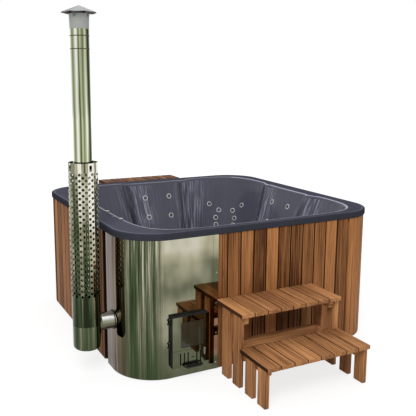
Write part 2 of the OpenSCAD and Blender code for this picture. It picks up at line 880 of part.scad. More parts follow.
module ash_drawer() {
    wall = 4;
    flange_y = door_back - wall;
    color("gray")
        difference() {
            union() {
                difference() {
                    block([door_x, door_front, door_z], [door_x + door_w, door_back, drawer_top]);
                    block([door_x + wall, door_front + plate_t, door_z + wall],
                          [door_x + door_w - wall, flange_y, drawer_top - wall]);
                }
                difference() {
                    block([tray_x0, flange_y, tray_z0], [tray_x1, tray_back, tray_z1]);
                    block([tray_x0 + 2, flange_y - eps, tray_z0 + 2],
                          [tray_x1 - 2, tray_back - 2, tray_z1 + eps]);
                }
            }
            block([tray_x0 + 2, flange_y - eps, tray_z0 + 2], [tray_x1 - 2, door_back + eps, tray_z1 - 6]);
            for (s = [-1, 1])
                for (d = slot_offsets)
                    block([slot_mid + s * d - slot_w / 2, door_front - eps, slot_z],
                          [slot_mid + s * d + slot_w / 2, door_front + plate_t + eps, slot_z + slot_h]);
            block([stub_x - slide_travel - stub_r - 1, door_front - eps, stub_z - stub_r - 0.5],
                  [stub_x + stub_r + 1, door_front + plate_t + eps, stub_z + stub_r + 0.5]);
            translate([latch_x, door_front - eps, latch_z])
                rotate([-90, 0, 0]) cylinder(r = latch_pin_r + fit, h = plate_t + 2 * eps);
        }
}

module air_slide() {
    y0 = door_front + plate_t + gap;
    color("dimgray") {
        difference() {
            block([slot_mid - slide_half, y0, slot_z - 5], [slot_mid + slide_half, y0 + 3, slot_z + slot_h + 4]);
            for (s = [-1, 1])
                for (d = slot_offsets)
                    block([slot_mid + s * d - slot_w / 2, y0 - eps, slot_z],
                          [slot_mid + s * d + slot_w / 2, y0 + 3 + eps, slot_z + slot_h]);
        }
        translate([stub_x, y0 + 1, stub_z])
            rotate([90, 0, 0]) cylinder(r = stub_r, h = plate_t + 6);
    }
}

module grip_rod() {
    color("silver") {
        for (x = [grip_x0 - 4, grip_x1 + 4])
            translate([x, door_front, grip_z]) rotate([90, 0, 0]) cylinder(r = grip_rod_r, h = 29);
        translate([grip_x0 - 4, grip_y, grip_z]) rotate([0, 90, 0]) cylinder(r = grip_rod_r - 0.5, h = grip_x1 - grip_x0 + 8);
    }
}

// The wound wire on the grip: a point of its centre line, i eighths of a turn along.
function coil_point(i, r) = [coil_x0 + coil_pitch * i / 8, grip_y + r * cos(i * 45), grip_z + r * sin(i * 45)];
function unit(v) = v / norm(v);
coil_last = 8 * coil_turns;
coil_path = [
    coil_point(0, grip_rod_r - 0.7),
    coil_point(0, coil_r - 2 * coil_wire),
    for (i = [0:coil_last]) coil_point(i, coil_r),
    coil_point(coil_last, coil_r - 2 * coil_wire),
    coil_point(coil_last, grip_rod_r - 0.7)
];
function coil_ring(k) =
    let (
        a = coil_path[max(k - 1, 0)],
        b = coil_path[min(k + 1, len(coil_path) - 1)],
        t = unit(b - a),
        n = unit([1, 0, 0] - t[0] * t),
        m = cross(t, n)
    )
    [for (q = [0:5]) coil_path[k] + coil_wire * (cos(q * 60) * n + sin(q * 60) * m)];

// The least gap between turns, from centre points at least half a turn apart.
coil_gap = min([
    for (i = [2:coil_last - 2])
        for (j = [i + 4:1:coil_last + 2])
            norm(coil_path[i] - coil_path[j])
]) - 2 * coil_wire;
echo(coil_gap = coil_gap);

module coil_grip() {
    rings = len(coil_path);
    points = [for (k = [0:rings - 1]) each coil_ring(k)];
    sides = [
        for (k = [0:rings - 2])
            for (q = [0:5])
                let (a = 6 * k + q, b = 6 * k + (q + 1) % 6)
                each [[a, a + 6, b], [b, a + 6, b + 6]]
    ];
    last = 6 * (rings - 1);
    caps = [for (q = [1:4]) each [[0, q, q + 1], [last, last + q + 1, last + q]]];
    color("black") polyhedron(points, concat(sides, caps));
}

// Flue and chimney.

module flue_pipe() {
    color("silver")
        translate([branch_end, chimney_y, flue_z])
            rotate([0, 90, 0]) pipe(flue_r, flue_wall, body_x0 - branch_end);
}

module flue_gasket() {
    color("black")
        translate([-half - 3.5, chimney_y, flue_z])
            rotate([0, 90, 0]) pipe(flue_r + 7, 7, 3.5);
}

module chimney_lower() {
    spigot_h = 30;
    color("silver")
        translate([chimney_x, chimney_y, 0])
            difference() {
                union() {
                    translate([0, 0, tee_z]) cylinder(r = flue_r, h = tee_top - tee_z);
                    translate([0, 0, tee_top - eps]) cylinder(r = flue_r - flue_wall - 0.2, h = spigot_h + eps);
                    translate([0, 0, flue_z]) rotate([0, 90, 0]) cylinder(r = flue_r, h = branch_end - chimney_x);
                }
                translate([0, 0, tee_z - eps])
                    cylinder(r = flue_r - 2 * flue_wall - 0.2, h = tee_top + spigot_h - tee_z + 2 * eps);
                translate([0, 0, flue_z]) rotate([0, 90, 0]) cylinder(r = flue_r - flue_wall, h = branch_end - chimney_x + eps);
            }
}

module shield_spacers() {
    color("silver")
        translate([chimney_x, chimney_y, 0])
            for (z = [holes_z0 - 60, holes_end + 4])
                for (a = [60, 180, 300])
                    rotate([0, 0, a])
                        intersection() {
                            translate([flue_r - 5, -10, z]) cube([shield_r - flue_r + 10, 20, 15]);
                            difference() {
                                translate([0, 0, z - eps]) cylinder(r = shield_r - shield_t, h = 15 + 2 * eps);
                                translate([0, 0, z - 2 * eps]) cylinder(r = flue_r, h = 15 + 4 * eps);
                            }
                        }
}

// The shield's holed middle is folded from flat strips between two round sleeves.
shield_folds = 2 * holes_round;
shield_bend = 360 / shield_folds;
seam = 0.1;

// One flat strip of the shield with its column of holes. Every second strip is half a step lower.
module shield_strip(k) {
    r1 = shield_r * cos(shield_bend / 2) - 0.1;
    r0 = r1 - shield_t;
    side = r1 * tan(shield_bend / 2) + 0.2;
    translate([0, 0, holes_z0])
        difference() {
            linear_extrude(holes_end - holes_z0)
                polygon([[r0, -side], [r1, -side], [r1, side], [r0, side]]);
            for (row = [k % 2:2:hole_rows])
                translate([r0 - eps, 0, (row + 0.5) * row_pitch])
                    rotate([0, 90, 0]) cylinder(d = hole_d, h = shield_t + 2 * eps);
        }
}

module heat_shield() {
    sleeve_z0 = cap_seam + 2;
    slot_top = shield_top - 14;
    color("silver")
        translate([chimney_x, chimney_y, 0]) {
            difference() {
                translate([0, 0, sleeve_z0]) pipe(shield_r, shield_t, holes_z0 - seam - sleeve_z0);
                translate([0, 0, flue_z]) rotate([0, 90, 0]) cylinder(r = flue_r + hole_gap, h = shield_r + 10);
            }
            for (k = [0:shield_folds - 1])
                rotate([0, 0, (k + 0.5) * shield_bend]) shield_strip(k);
            difference() {
                translate([0, 0, holes_end + seam]) pipe(shield_r, shield_t, shield_top - holes_end - seam);
                for (a = [13, 103])
                    rotate([0, 0, a]) block([-9, -shield_r - 5, slot_top - 38], [9, shield_r + 5, slot_top]);
            }
        }
}

module soot_cap() {
    slope = 14;
    color("silver")
        translate([chimney_x, chimney_y, soot_z])
            difference() {
                union() {
                    intersection() {
                        soot_cup(shield_r, cap_seam - soot_z, 26);
                        slope_cut(slope, 0);
                    }
                    translate([0, 0, cap_seam - soot_z - 12]) pipe(shield_r - shield_t - fit, 1.5, 24);
                }
                translate([0, 0, shield_t]) intersection() {
                    soot_cup(shield_r - shield_t, cap_seam - soot_z - 12 - shield_t, 24);
                    slope_cut(slope, shield_t);
                }
                translate([0, 0, cap_seam - soot_z - 12 - eps]) cylinder(r = shield_r - shield_t - fit - 1.5, h = 24 + 2 * eps);
                translate([0, 0, flue_z - soot_z]) rotate([0, 90, 0]) cylinder(r = flue_r + hole_gap, h = shield_r + 10);
                translate([0, -flue_r - hole_gap, flue_z - soot_z])
                    cube([shield_r + 10, 2 * (flue_r + hole_gap), 60]);
            }
}

module soot_cup(r, h, round_r) {
    rotate_extrude($fn = fine) {
        square([r - round_r, h]);
        translate([0, round_r]) square([r, h - round_r]);
        translate([r - round_r, round_r]) intersection() {
            circle(round_r);
            translate([0, -round_r]) square(round_r);
        }
    }
}

module slope_cut(slope, inset) {
    top = flue_z - soot_z - 20;
    translate([shield_r - inset, 0, top])
        rotate([0, slope, 0]) translate([-3 * shield_r, -2 * shield_r, -3 * shield_r])
            cube([3 * shield_r, 4 * shield_r, 3 * shield_r]);
    translate([-2 * shield_r, -2 * shield_r, top - 30]) cube([3.05 * shield_r - inset, 4 * shield_r, 3 * shield_r]);
}

module bead(z) {
    translate([0, 0, z]) rotate_extrude($fn = fine) translate([flue_r - 0.5, 0]) circle(3, $fn = 24);
}

module chimney_upper() {
    color("silver")
        translate([chimney_x, chimney_y, 0])
            difference() {
                union() {
                    translate([0, 0, tee_top]) cylinder(r = flue_r, h = pipe_end - tee_top);
                    for (z = [bead_low, bead_top])
                        bead(z);
                }
                translate([0, 0, tee_top - eps]) cylinder(r = flue_r - flue_wall, h = pipe_end - tee_top + 2 * eps);
            }
}

module cap_collar() {
    skirt = 28;
    skirt_r = flue_r - flue_wall - fit;
    color("gray")
        translate([chimney_x, chimney_y, pipe_end + gap])
            difference() {
                union() {
                    cylinder(r1 = cap_r0, r2 = cap_r1, h = collar_h);
                    translate([0, 0, -skirt]) cylinder(r = skirt_r, h = skirt + eps);
                }
                translate([0, 0, -skirt - eps]) cylinder(r = skirt_r - 1.5, h = skirt + eps + 2);
                translate([0, 0, 2]) cylinder(r1 = skirt_r - 1.5, r2 = cap_r1 - 2, h = collar_h - 2 + eps);
            }
}

strap_lap = 20;
roof_drop = 42;

module cap_roof() {
    edge_r = cap_r1 + 2;
    under = roof_z + roof_drop * (roof_d / 2 - edge_r) / (roof_d / 2 - 3) - 2;
    strap_z = pipe_end + collar_h - strap_lap;
    color("gray")
        translate([chimney_x, chimney_y, gap]) {
            translate([0, 0, roof_z])
                difference() {
                    cylinder(r1 = roof_d / 2, r2 = 3, h = roof_drop);
                    translate([0, 0, -2]) cylinder(r1 = roof_d / 2, r2 = 3, h = roof_drop);
                }
            for (a = [45:90:315])
                rotate([0, 0, a]) block([cap_r1, -8, strap_z], [edge_r, 8, under + 1]);
        }
}

// Water side of the stove.

module pipe_pair() {
    reach = 45;
    union()
        for (z = heat_z) {
            start = [port_x, body_y1 - wall_t, z];
            turn_at = [port_x, body_y1 + reach, z];
            end = well_point(heat_bearing, z) + [cos(heat_bearing) * 10, sin(heat_bearing) * 10, 0];
            difference() {
                run([start, turn_at, end], port_r - gap);
                run([start - [0, 5, 0], turn_at, well_point(heat_bearing, z)], port_r - 3);
            }
        }
}

module wall_eyes() {
    union()
        for (z = heat_z)
            at_well(heat_bearing, z)
                difference() {
                    translate([0, 0, -4.5]) cylinder(r = 25, h = 4.5 + jet_sink);
                    for (x = [-12:8:12])
                        translate([x - 2, -14, -6]) cube([4, 28, 10]);
                }
}

module water_pipes() {
    color("gray") {
        pipe_pair();
        wall_eyes();
    }
}

// Steps.

module step_legs() {
    color("peru")
        for (k = [0:3])
            for (x = [-steps_w / 2, steps_w / 2 - leg_t])
                block([x, -half - leg_off[k] - leg_w, 0],
                      [x + leg_t, -half - leg_off[k], (k < 2 ? top_tread_z : low_tread_z) - tread_t]);
}

module step_rails() {
    top_rail = top_tread_z - tread_t;
    low_rail = low_tread_z - tread_t;
    x_in = steps_w / 2 - leg_t;
    back = -half - leg_off[0] - 34;
    color("sienna") {
        for (s = [-1, 1]) {
            x0 = min(s * x_in, s * (x_in - rail_w));
            block([x0, -half - leg_off[1] - leg_w + 12, top_rail - rail_h], [x0 + rail_w, -half - 30, top_rail]);
            block([x0, -half - leg_off[3] - leg_w + 40, low_rail - rail_h], [x0 + rail_w, back, low_rail]);
        }
        block([-x_in + rail_w, back - rail_w, low_rail - rail_h], [x_in - rail_w, back, low_rail]);
        for (y = [low_front + batten_in, low_back - batten_w])
            block([-x_in + rail_w, y, low_rail - batten_h], [x_in - rail_w, y + batten_w, low_rail]);
        for (y = [top_front + batten_in, top_back - 2 * batten_w])
            block([-x_in + rail_w, y, top_rail - batten_h], [x_in - rail_w, y + batten_w, top_rail]);
    }
}

module tread(y0, y1, top) {
    for (k = [0:tread_boards - 1])
        block([-steps_w / 2 + k * (tread_w + tread_gap), y0, top - tread_t],
              [-steps_w / 2 + k * (tread_w + tread_gap) + tread_w, y1, top]);
}

module lower_tread() {
    color("peru")
        tread(low_front, low_back, low_tread_z);
}

module upper_tread() {
    color("peru")
        tread(top_front, top_back, top_tread_z);
}

// Equipment box.

module box_frame() {
    x0 = box_x + wall_b;
    x1 = box_x1 - wall_b;
    y1 = box_y1 - wall_b;
    color("tan") {
        for (x = [x0, x1 - leg_s])
            for (y = [box_y0, y1 - leg_s])
                block([x, y, 0], [x + leg_s, y + leg_s, box_z1]);
        for (z = [box_floor, box_z1 - leg_s])
            block([x0 + leg_s, y1 - leg_s, z], [x1 - leg_s, y1, z + leg_s]);
        for (x = [x0, x1 - leg_s])
            block([x, box_y0 + leg_s, box_z1 - leg_s], [x + leg_s, y1 - leg_s, box_z1]);
        block([x0 + leg_s, box_y0, box_z1 - 50], [x1 - leg_s, box_y0 + 18, box_z1 - 20]);
        block([x0, box_y0, box_floor - wall_b], [x1, y1, box_floor]);
    }
}

module box_walls() {
    color("peru") {
        for (k = [0:box_boards - 1])
            block([box_x + k * box_pitch + box_gap / 2, box_y1 - wall_b, ground_gap],
                  [box_x + (k + 1) * box_pitch - box_gap / 2, box_y1, box_z1]);
        for (x = [box_x, box_x1 - wall_b])
            for (k = [0:1])
                block([x, box_y0 + k * (box_d - wall_b) / 2 + 2, ground_gap],
                      [x + wall_b, box_y0 + (k + 1) * (box_d - wall_b) / 2 - 2, box_z1]);
    }
}

module box_lid() {
    color("peru")
        for (k = [0:box_boards - 1])
            block([box_x + k * box_pitch + box_gap / 2, lid_y0, box_h - lid_t],
                  [box_x + (k + 1) * box_pitch - box_gap / 2, box_y1, box_h]);
}

module lid_battens() {
    x0 = box_x + wall_b + leg_s + 5;
    x1 = box_x1 - wall_b - leg_s - 5;
    color("tan")
        for (y = [lid_y0 + 45, box_y1 - wall_b - leg_s - 40])
            block([x0, y, box_h - lid_t - 22], [x1, y + 35, box_h - lid_t]);
}

// Fixed half of the lid hinges: two ears and a pin on the front rail of the box.
module lid_brackets() {
    color("gray")
        for (x = lid_hinges_x) {
            for (s = [-1, 1])
                translate([x + s * (lid_knuckle_l / 2 + 3) - 2, 0, 0]) {
                    block([0, hinge_lid_y - 5, box_z1 - 20], [4, hinge_lid_y + 5, box_h - lid_t / 2]);
                    translate([0, hinge_lid_y, box_h - lid_t / 2]) rotate([0, 90, 0]) cylinder(r = 6, h = 4);
                }
            translate([x - lid_knuckle_l / 2 - 4, hinge_lid_y, box_h - lid_t / 2])
                rotate([0, 90, 0]) cylinder(r = lid_pin_r, h = lid_knuckle_l + 8);
        }
}

// Moving half of the lid hinges: a knuckle and a leaf under the boards.
module lid_leaves() {
    color("gray")
        for (x = lid_hinges_x)
            difference() {
                union() {
                    translate([x - lid_knuckle_l / 2, hinge_lid_y, box_h - lid_t / 2])
                        rotate([0, 90, 0]) cylinder(r = 7, h = lid_knuckle_l);
                    block([x - lid_knuckle_l / 2, hinge_lid_y, box_h - lid_t - 3],
                          [x + lid_knuckle_l / 2, lid_y0 + 44, box_h - lid_t]);
                    block([x - lid_knuckle_l / 2, hinge_lid_y - 3, box_h - lid_t - 3],
                          [x + lid_knuckle_l / 2, hinge_lid_y + 3, box_h - lid_t / 2]);
                }
                translate([x - lid_knuckle_l, hinge_lid_y, box_h - lid_t / 2])
                    rotate([0, 90, 0]) cylinder(r = lid_pin_r + fit, h = 2 * lid_knuckle_l);
            }
}

// Pump, pipes and drain.

// A level run bends in upright drums.
module elbow_run(points, r, bulge) {
    for (i = [0:len(points) - 2])
        rod_between(points[i], points[i + 1], r);
    for (i = [1:1:len(points) - 2])
        translate(points[i] - [0, 0, r + bulge]) cylinder(r = r + bulge, h = 2 * (r + bulge));
}

module run(points, r) {
    elbow_run(points, r, 0.6);
}

module hollow_run(points, r, t) {
    last = len(points) - 1;
    first_dir = (points[0] - points[1]) / norm(points[0] - points[1]);
    last_dir = (points[last] - points[last - 1]) / norm(points[last] - points[last - 1]);
    inner_points = [for (i = [0:last])
        i == 0 ? points[0] + eps * first_dir : i == last ? points[last] + eps * last_dir : points[i]];
    difference() {
        elbow_run(points, r, 4);
        elbow_run(inner_points, r - t, 0.6);
    }
}

module pump() {
    color("dimgray") {
        difference() {
            translate([pump_x - 70, pump_y, pump_z]) rotate([0, 90, 0]) cylinder(r = pump_r, h = 70);
            translate([pump_x - 64, pump_y, pump_z]) rotate([0, 90, 0]) cylinder(r = pump_r - 6, h = 58);
            translate([pump_x - 71, pump_y, pump_z]) rotate([0, 90, 0]) cylinder(r = pipe_r + gap, h = 20);
            translate([press_x, pump_y, pump_z]) cylinder(r = pipe_r - 4, h = pump_r + 10);
        }
        translate([pump_x, pump_y, pump_z]) rotate([0, 90, 0]) cylinder(r = pump_r - 12, h = 190);
        block([pump_x + 20, pump_y - 35, box_floor], [pump_x + 150, pump_y + 35, pump_z - 20]);
        block([pump_x - 60, pump_y - 35, box_floor], [pump_x - 10, pump_y + 35, pump_z - pump_r + 8]);
    }
}

module suction_pipe() {
    s = well_point(suction_bearing, suction_z) + [cos(suction_bearing) * 12, sin(suction_bearing) * 12, 0];
    lead = suction_lead * [cos(suction_bearing), sin(suction_bearing), 0];
    color("whitesmoke")
        hollow_run([s, s + lead, [suction_x, suction_turn, suction_z], [suction_x, pump_y, suction_z],
                    [pump_x - 70, pump_y, pump_z]], pipe_r, 3);
}

module suction_grille() {
    color("silver")
        at_well(suction_bearing, suction_z) {
            difference() {
                union() {
                    translate([0, 0, -7]) cylinder(r = 47, h = 7 + jet_sink);
                    cylinder(r = 25.5, h = 9);
                }
                translate([0, 0, -3]) cylinder(r = 22, h = 14);
                for (x = [-30:10:30])
                    translate([x - 2.5, -sqrt(40 * 40 - x * x), -8]) cube([5, 2 * sqrt(40 * 40 - x * x), 6]);
                for (x = [-20:10:20])
                    translate([x - 2.5, -15, -8]) cube([5, 30, 12]);
            }
        }
}

module pressure_pipe() {
    start = [press_x, pump_y, pump_z + pump_r - 12];
    end = [press_x, main_off + 8, main_z];
    color("whitesmoke")
        difference() {
            hollow_run([start, [press_x, pump_y, main_z], end], pipe_r, 3);
            translate([pump_x - 75, pump_y, pump_z]) rotate([0, 90, 0]) cylinder(r = pump_r + seam, h = 80);
            translate([press_x - 60, main_off, main_z]) rotate([0, 90, 0]) cylinder(r = main_r + seam, h = 120);
        }
}

module jet_main() {
    c = main_off - main_cut;
    p = [[main_x0, main_off, main_z], [c, main_off, main_z], [main_off, c, main_z], [main_off, main_y1, main_z]];
    color("whitesmoke")
        union() {
            for (i = [0:2]) rod_between(p[i], p[i + 1], main_r);
            for (i = [1, 2])
                translate([p[i][0], p[i][1], main_z - main_r - 5]) cylinder(r = main_r + 5, h = 2 * main_r + 10);
        }
}

// The point on the main where a jet's hose lands.
function main_point(w, p) =
    let (c = main_off - main_cut / 2, d = p[2] * sqrt(0.5))
    abs(p[0] - corner_bearing) < 12 ? [c + d, c - d, main_z]
    : w[1] > w[0] ? [w[0] + p[2], main_off, main_z]
    : [main_off, w[1] + p[2], main_z];
function jet_out(p) =
    let (b = wall_bearing(p[0], p[1]))
    [cos(b) * cos(wall_lean), sin(b) * cos(wall_lean), -sin(wall_lean)];

module jet_hoses() {
    color("gray")
        for (p = jet_list) {
            tail = wall_point(p[0], p[1]) + jet_out(p) * (jet_tail - 2);
            m = main_point(tail, p);
            d = (tail - m) / norm(tail - m);
            rod_between(m + d * (main_r - 1), tail, hose_r);
        }
}

module jets() {
    color("lightgray")
        for (p = jet_list)
            at_jet(p)
                difference() {
                    union() {
                        translate([0, 0, -3.5]) cylinder(d = jet_d, h = 3.5 + jet_sink);
                        cylinder(r = jet_body_r, h = jet_tail);
                    }
                    translate([0, 0, -10]) cylinder(r = jet_hole_r, h = jet_tail);
                }
}

module knob(k) {
    translate([k[0], k[1], tub_h + gap]) {
        cylinder(r = knob_r, h = knob_h);
        translate([-2.5, -knob_r - 5, 2]) cube([5, knob_r + 5, knob_h - 4]);
    }
    translate([k[0], k[1], tub_h - stem_l]) cylinder(r = stem_r, h = stem_l + 1);
}

module deck_knob_back() {
    color("lightgray") knob(deck_knobs[0]);
}

module deck_knob_front() {
    color("lightgray") knob(deck_knobs[1]);
}

module air_valves() {
    color("whitesmoke")
        for (k = deck_knobs)
            translate([k[0], k[1], rim_z - 40])
                difference() {
                    cylinder(r = 15, h = 40);
                    translate([0, 0, 10]) cylinder(r = stem_r + 0.5, h = 31);
                }
}

module drain_pipe() {
    color("whitesmoke") {
        difference() {
            elbow_run([[drain_x, drain_y, floor_z + 1], [drain_x, drain_y, drain_z], [drain_x, half + 20, drain_z]], drain_r, 4);
            elbow_run([[drain_x, drain_y, floor_z + 2], [drain_x, drain_y, drain_z], [drain_x, half + 21, drain_z]],
                      drain_r - 3, 0.6);
        }
        translate([drain_x, drain_y, floor_z])
            difference() {
                cylinder(r = 30, h = 4);
                for (a = [0:45:315])
                    rotate([0, 0, a]) translate([8, 0, -eps]) cylinder(r = 2.5, h = 6);
            }
    }
}

module drain_valve() {
    color("goldenrod")
        translate([drain_x, half + 20, drain_z])
            difference() {
                union() {
                    rotate([-90, 0, 0]) cylinder(r = drain_r + 4, h = 60);
                    translate([0, 30, 0]) cylinder(r = 9, h = drain_r + 12);
                }
                translate([0, -1, 0]) rotate([-90, 0, 0]) cylinder(r = drain_r - 3, h = 62);
                translate([0, 30, drain_r + 5]) cylinder(r = 4 + fit, h = 20);
            }
}

module drain_lever() {
    color("firebrick")
        translate([drain_x, half + 50, drain_z + drain_r]) {
            translate([0, 0, 6]) cylinder(r = 4, h = 11);
            translate([0, 0, 12 + gap]) cylinder(r = 9, h = 5);
            block([-6, 0, 12 + gap], [6, 70, 17 + gap]);
        }
}

base_frame();
base_panel();
wall_frame();
top_ring();
acrylic_shell();
cladding_front();
cladding_right();
cladding_back();
cladding_left();
corner_slats();
steel_cover();
cover_trims();
cover_screws();
stove_stand();
stove_body();
stove_neck();
fire_grate();
door_hinges();
hinge_pins();
stove_door();
door_glass();
glass_clips();
latch_lever();
ash_drawer();
grip_rod();
coil_grip();
air_slide();
flue_pipe();
flue_gasket();
chimney_lower();
shield_spacers();
heat_shield();
soot_cap();
chimney_upper();
cap_collar();
cap_roof();
water_pipes();
step_legs();
step_rails();
lower_tread();
upper_tread();
box_frame();
box_walls();
box_lid();
lid_battens();
lid_brackets();
lid_leaves();
pump();
suction_pipe();
suction_grille();
pressure_pipe();
jet_main();
jet_hoses();
jets();
deck_knob_back();
deck_knob_front();
air_valves();
drain_pipe();
drain_valve();
drain_lever();
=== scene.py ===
import json
import math
import random

import bmesh
import bpy
from mathutils import Matrix, Vector

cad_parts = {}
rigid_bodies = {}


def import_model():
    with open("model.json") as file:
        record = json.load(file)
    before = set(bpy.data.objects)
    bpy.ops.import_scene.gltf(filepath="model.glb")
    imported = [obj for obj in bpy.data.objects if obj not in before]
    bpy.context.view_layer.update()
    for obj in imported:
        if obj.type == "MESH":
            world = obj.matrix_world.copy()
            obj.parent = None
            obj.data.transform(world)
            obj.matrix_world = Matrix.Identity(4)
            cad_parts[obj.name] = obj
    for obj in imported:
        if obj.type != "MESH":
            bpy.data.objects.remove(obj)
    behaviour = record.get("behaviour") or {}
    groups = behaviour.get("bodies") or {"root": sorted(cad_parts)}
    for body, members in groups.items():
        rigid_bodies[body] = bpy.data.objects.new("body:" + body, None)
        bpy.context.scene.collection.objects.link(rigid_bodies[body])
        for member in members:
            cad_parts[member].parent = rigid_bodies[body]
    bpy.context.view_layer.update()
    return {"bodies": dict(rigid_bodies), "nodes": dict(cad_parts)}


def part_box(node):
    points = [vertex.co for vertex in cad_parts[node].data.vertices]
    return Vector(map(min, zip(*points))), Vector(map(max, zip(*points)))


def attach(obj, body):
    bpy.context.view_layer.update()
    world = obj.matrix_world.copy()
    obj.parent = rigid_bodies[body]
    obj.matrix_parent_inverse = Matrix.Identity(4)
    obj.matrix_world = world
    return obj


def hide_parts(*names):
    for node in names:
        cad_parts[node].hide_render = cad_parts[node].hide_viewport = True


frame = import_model()
NODES = frame["nodes"]
scene = bpy.context.scene


# Shader building. A graph is written as nested calls, each of which returns a socket.

MIX_A, MIX_B, MIX_RESULT = 6, 7, 2  # the colour sockets of a Mix node


class Graph:
    def __init__(self, tree):
        self.tree = tree

    def node(self, kind, **props):
        n = self.tree.nodes.new(kind)
        for key, value in props.items():
            setattr(n, key, value)
        return n

    def put(self, socket, value):
        if isinstance(value, bpy.types.NodeSocket):
            self.tree.links.new(value, socket)
        elif value is not None:
            socket.default_value = value

    def coords(self, scale=(1, 1, 1)):
        return self.mapped(self.node("ShaderNodeTexCoord").outputs["Object"], scale)

    def attribute(self, name, out="Fac"):
        return self.node("ShaderNodeAttribute", attribute_name=name).outputs[out]

    def mapped(self, vector, scale):
        m = self.node("ShaderNodeMapping")
        self.put(m.inputs["Vector"], vector)
        m.inputs["Scale"].default_value = scale
        return m.outputs["Vector"]

    def split(self, vector):
        n = self.node("ShaderNodeSeparateXYZ")
        self.put(n.inputs[0], vector)
        return n.outputs

    def noise(self, vector, scale, detail, rough, warp=0.0):
        n = self.node("ShaderNodeTexNoise")
        self.put(n.inputs["Vector"], vector)
        n.inputs["Scale"].default_value = scale
        n.inputs["Detail"].default_value = detail
        n.inputs["Roughness"].default_value = rough
        n.inputs["Distortion"].default_value = warp
        return n.outputs["Fac"]

    def math(self, op, a, b, c=0.0):
        n = self.node("ShaderNodeMath", operation=op)
        for socket, value in zip(n.inputs, (a, b, c)):
            self.put(socket, value)
        return n.outputs[0]

    def clamped(self, value, top=1.0):
        return self.math("MINIMUM", self.math("MAXIMUM", value, 0.0), top)

    def shifted(self, value, fac, swing):
        """The value moved by up to half of swing either way, as fac runs from 0 to 1."""
        return self.math("ADD", value, self.math("MULTIPLY_ADD", fac, swing, -swing / 2))

    def stretched(self, value, gain):
        """The value with its distance from the middle tone, 0.5, times gain."""
        return self.math("MULTIPLY_ADD", self.math("SUBTRACT", value, 0.5), gain, 0.5)

    def blend(self, share, a, b):
        """The number a where share is 1 and b where it is 0."""
        rest = self.math("MULTIPLY", self.math("SUBTRACT", 1.0, share), b)
        return self.math("ADD", self.math("MULTIPLY", share, a), rest)

    def ramp(self, fac, stops):
        """A ramp through stops, each a place and a colour or a grey."""
        n = self.node("ShaderNodeValToRGB")
        els = n.color_ramp.elements
        while len(els) < len(stops):
            els.new(0.5)
        for el, (pos, col) in zip(els, stops):
            el.position = pos
            el.color = (*col, 1) if isinstance(col, tuple) else (col, col, col, 1)
        self.put(n.inputs["Fac"], fac)
        return n.outputs["Color"]

    def mix(self, fac, a, b, blend="MIX"):
        n = self.node("ShaderNodeMix", data_type="RGBA", blend_type=blend)
        self.put(n.inputs["Factor"], fac)
        for index, value in ((MIX_A, a), (MIX_B, b)):
            self.put(n.inputs[index], (*value, 1) if isinstance(value, tuple) else value)
        return n.outputs[MIX_RESULT]

    def mix_shader(self, share, a, b):
        n = self.node("ShaderNodeMixShader")
        for socket, value in zip(n.inputs, (share, a, b)):
            self.put(socket, value)
        return n.outputs[0]

    def bump(self, height, strength, distance, normal=None):
        n = self.node("ShaderNodeBump")
        n.inputs["Strength"].default_value = strength
        n.inputs["Distance"].default_value = distance
        self.put(n.inputs["Height"], height)
        self.put(n.inputs["Normal"], normal)
        return n.outputs["Normal"]


class Skin(Graph):
    """The graph of a new material."""

    def __init__(self, name):
        self.mat = bpy.data.materials.new(name)
        self.mat.use_nodes = True
        super().__init__(self.mat.node_tree)
        self.bsdf = self.tree.nodes["Principled BSDF"]
        self.out = self.tree.nodes["Material Output"]

    def surface(self, **values):
        """Set inputs of the shader, named in lower case with underscores, and give the material."""
        for key, value in values.items():
            name = key.replace("_", " ").title().replace("Ior", "IOR")
            self.put(self.bsdf.inputs[name], value)
        return self.mat


def scaled(tint, by):
    return tuple(min(1, c * by) for c in tint)


# Noise cells in a metre of board: along the grain, across it and through it.
WAVES, RINGS, FIBRES, KNOTS = (1.6, 13, 13), (2.1, 150, 150), (9, 620, 620), (5, 30, 30)
LIGHT_SHARE = 0.45  # of the light tone in the middle tone
KNOT_TONE, KNOT_SHARE = 0.45, 0.55


def wood(name, dark, light, rough=0.55):
    """Boards with grain along each one; the board attribute moves the tone from board to board."""
    g = Skin(name)
    grain = g.attribute("grain", "Vector")
    wavy = g.noise(g.mapped(grain, WAVES), 1.0, 2.0, 0.5)
    rings = g.noise(g.mapped(grain, RINGS), 1.0, 4.0, 0.65, 0.5)
    fibre = g.noise(g.mapped(grain, FIBRES), 1.0, 3.0, 0.6)
    tone = g.shifted(g.stretched(rings, 1.7), wavy, 0.6)
    tone = g.shifted(g.shifted(tone, g.attribute("board"), 0.46), fibre, 0.14)
    mid = tuple(a * (1 - LIGHT_SHARE) + b * LIGHT_SHARE for a, b in zip(dark, light))
    col = g.ramp(tone, [(0.14, dark), (0.50, mid), (0.88, light)])
    knots = g.ramp(g.noise(g.mapped(grain, KNOTS), 1.0, 2.0, 0.5), [(0.70, 0), (0.78, 1)])
    height = g.math("ADD", g.math("MULTIPLY", rings, 0.7), g.math("MULTIPLY", fibre, 0.5))
    return g.surface(
        base_color=g.mix(g.math("MULTIPLY", knots, KNOT_SHARE), col, scaled(dark, KNOT_TONE)),
        roughness=g.math("MULTIPLY_ADD", rings, 0.25, rough - 0.12),
        specular_ior_level=0.06,
        normal=g.bump(height, 0.35, 0.0006),
    )


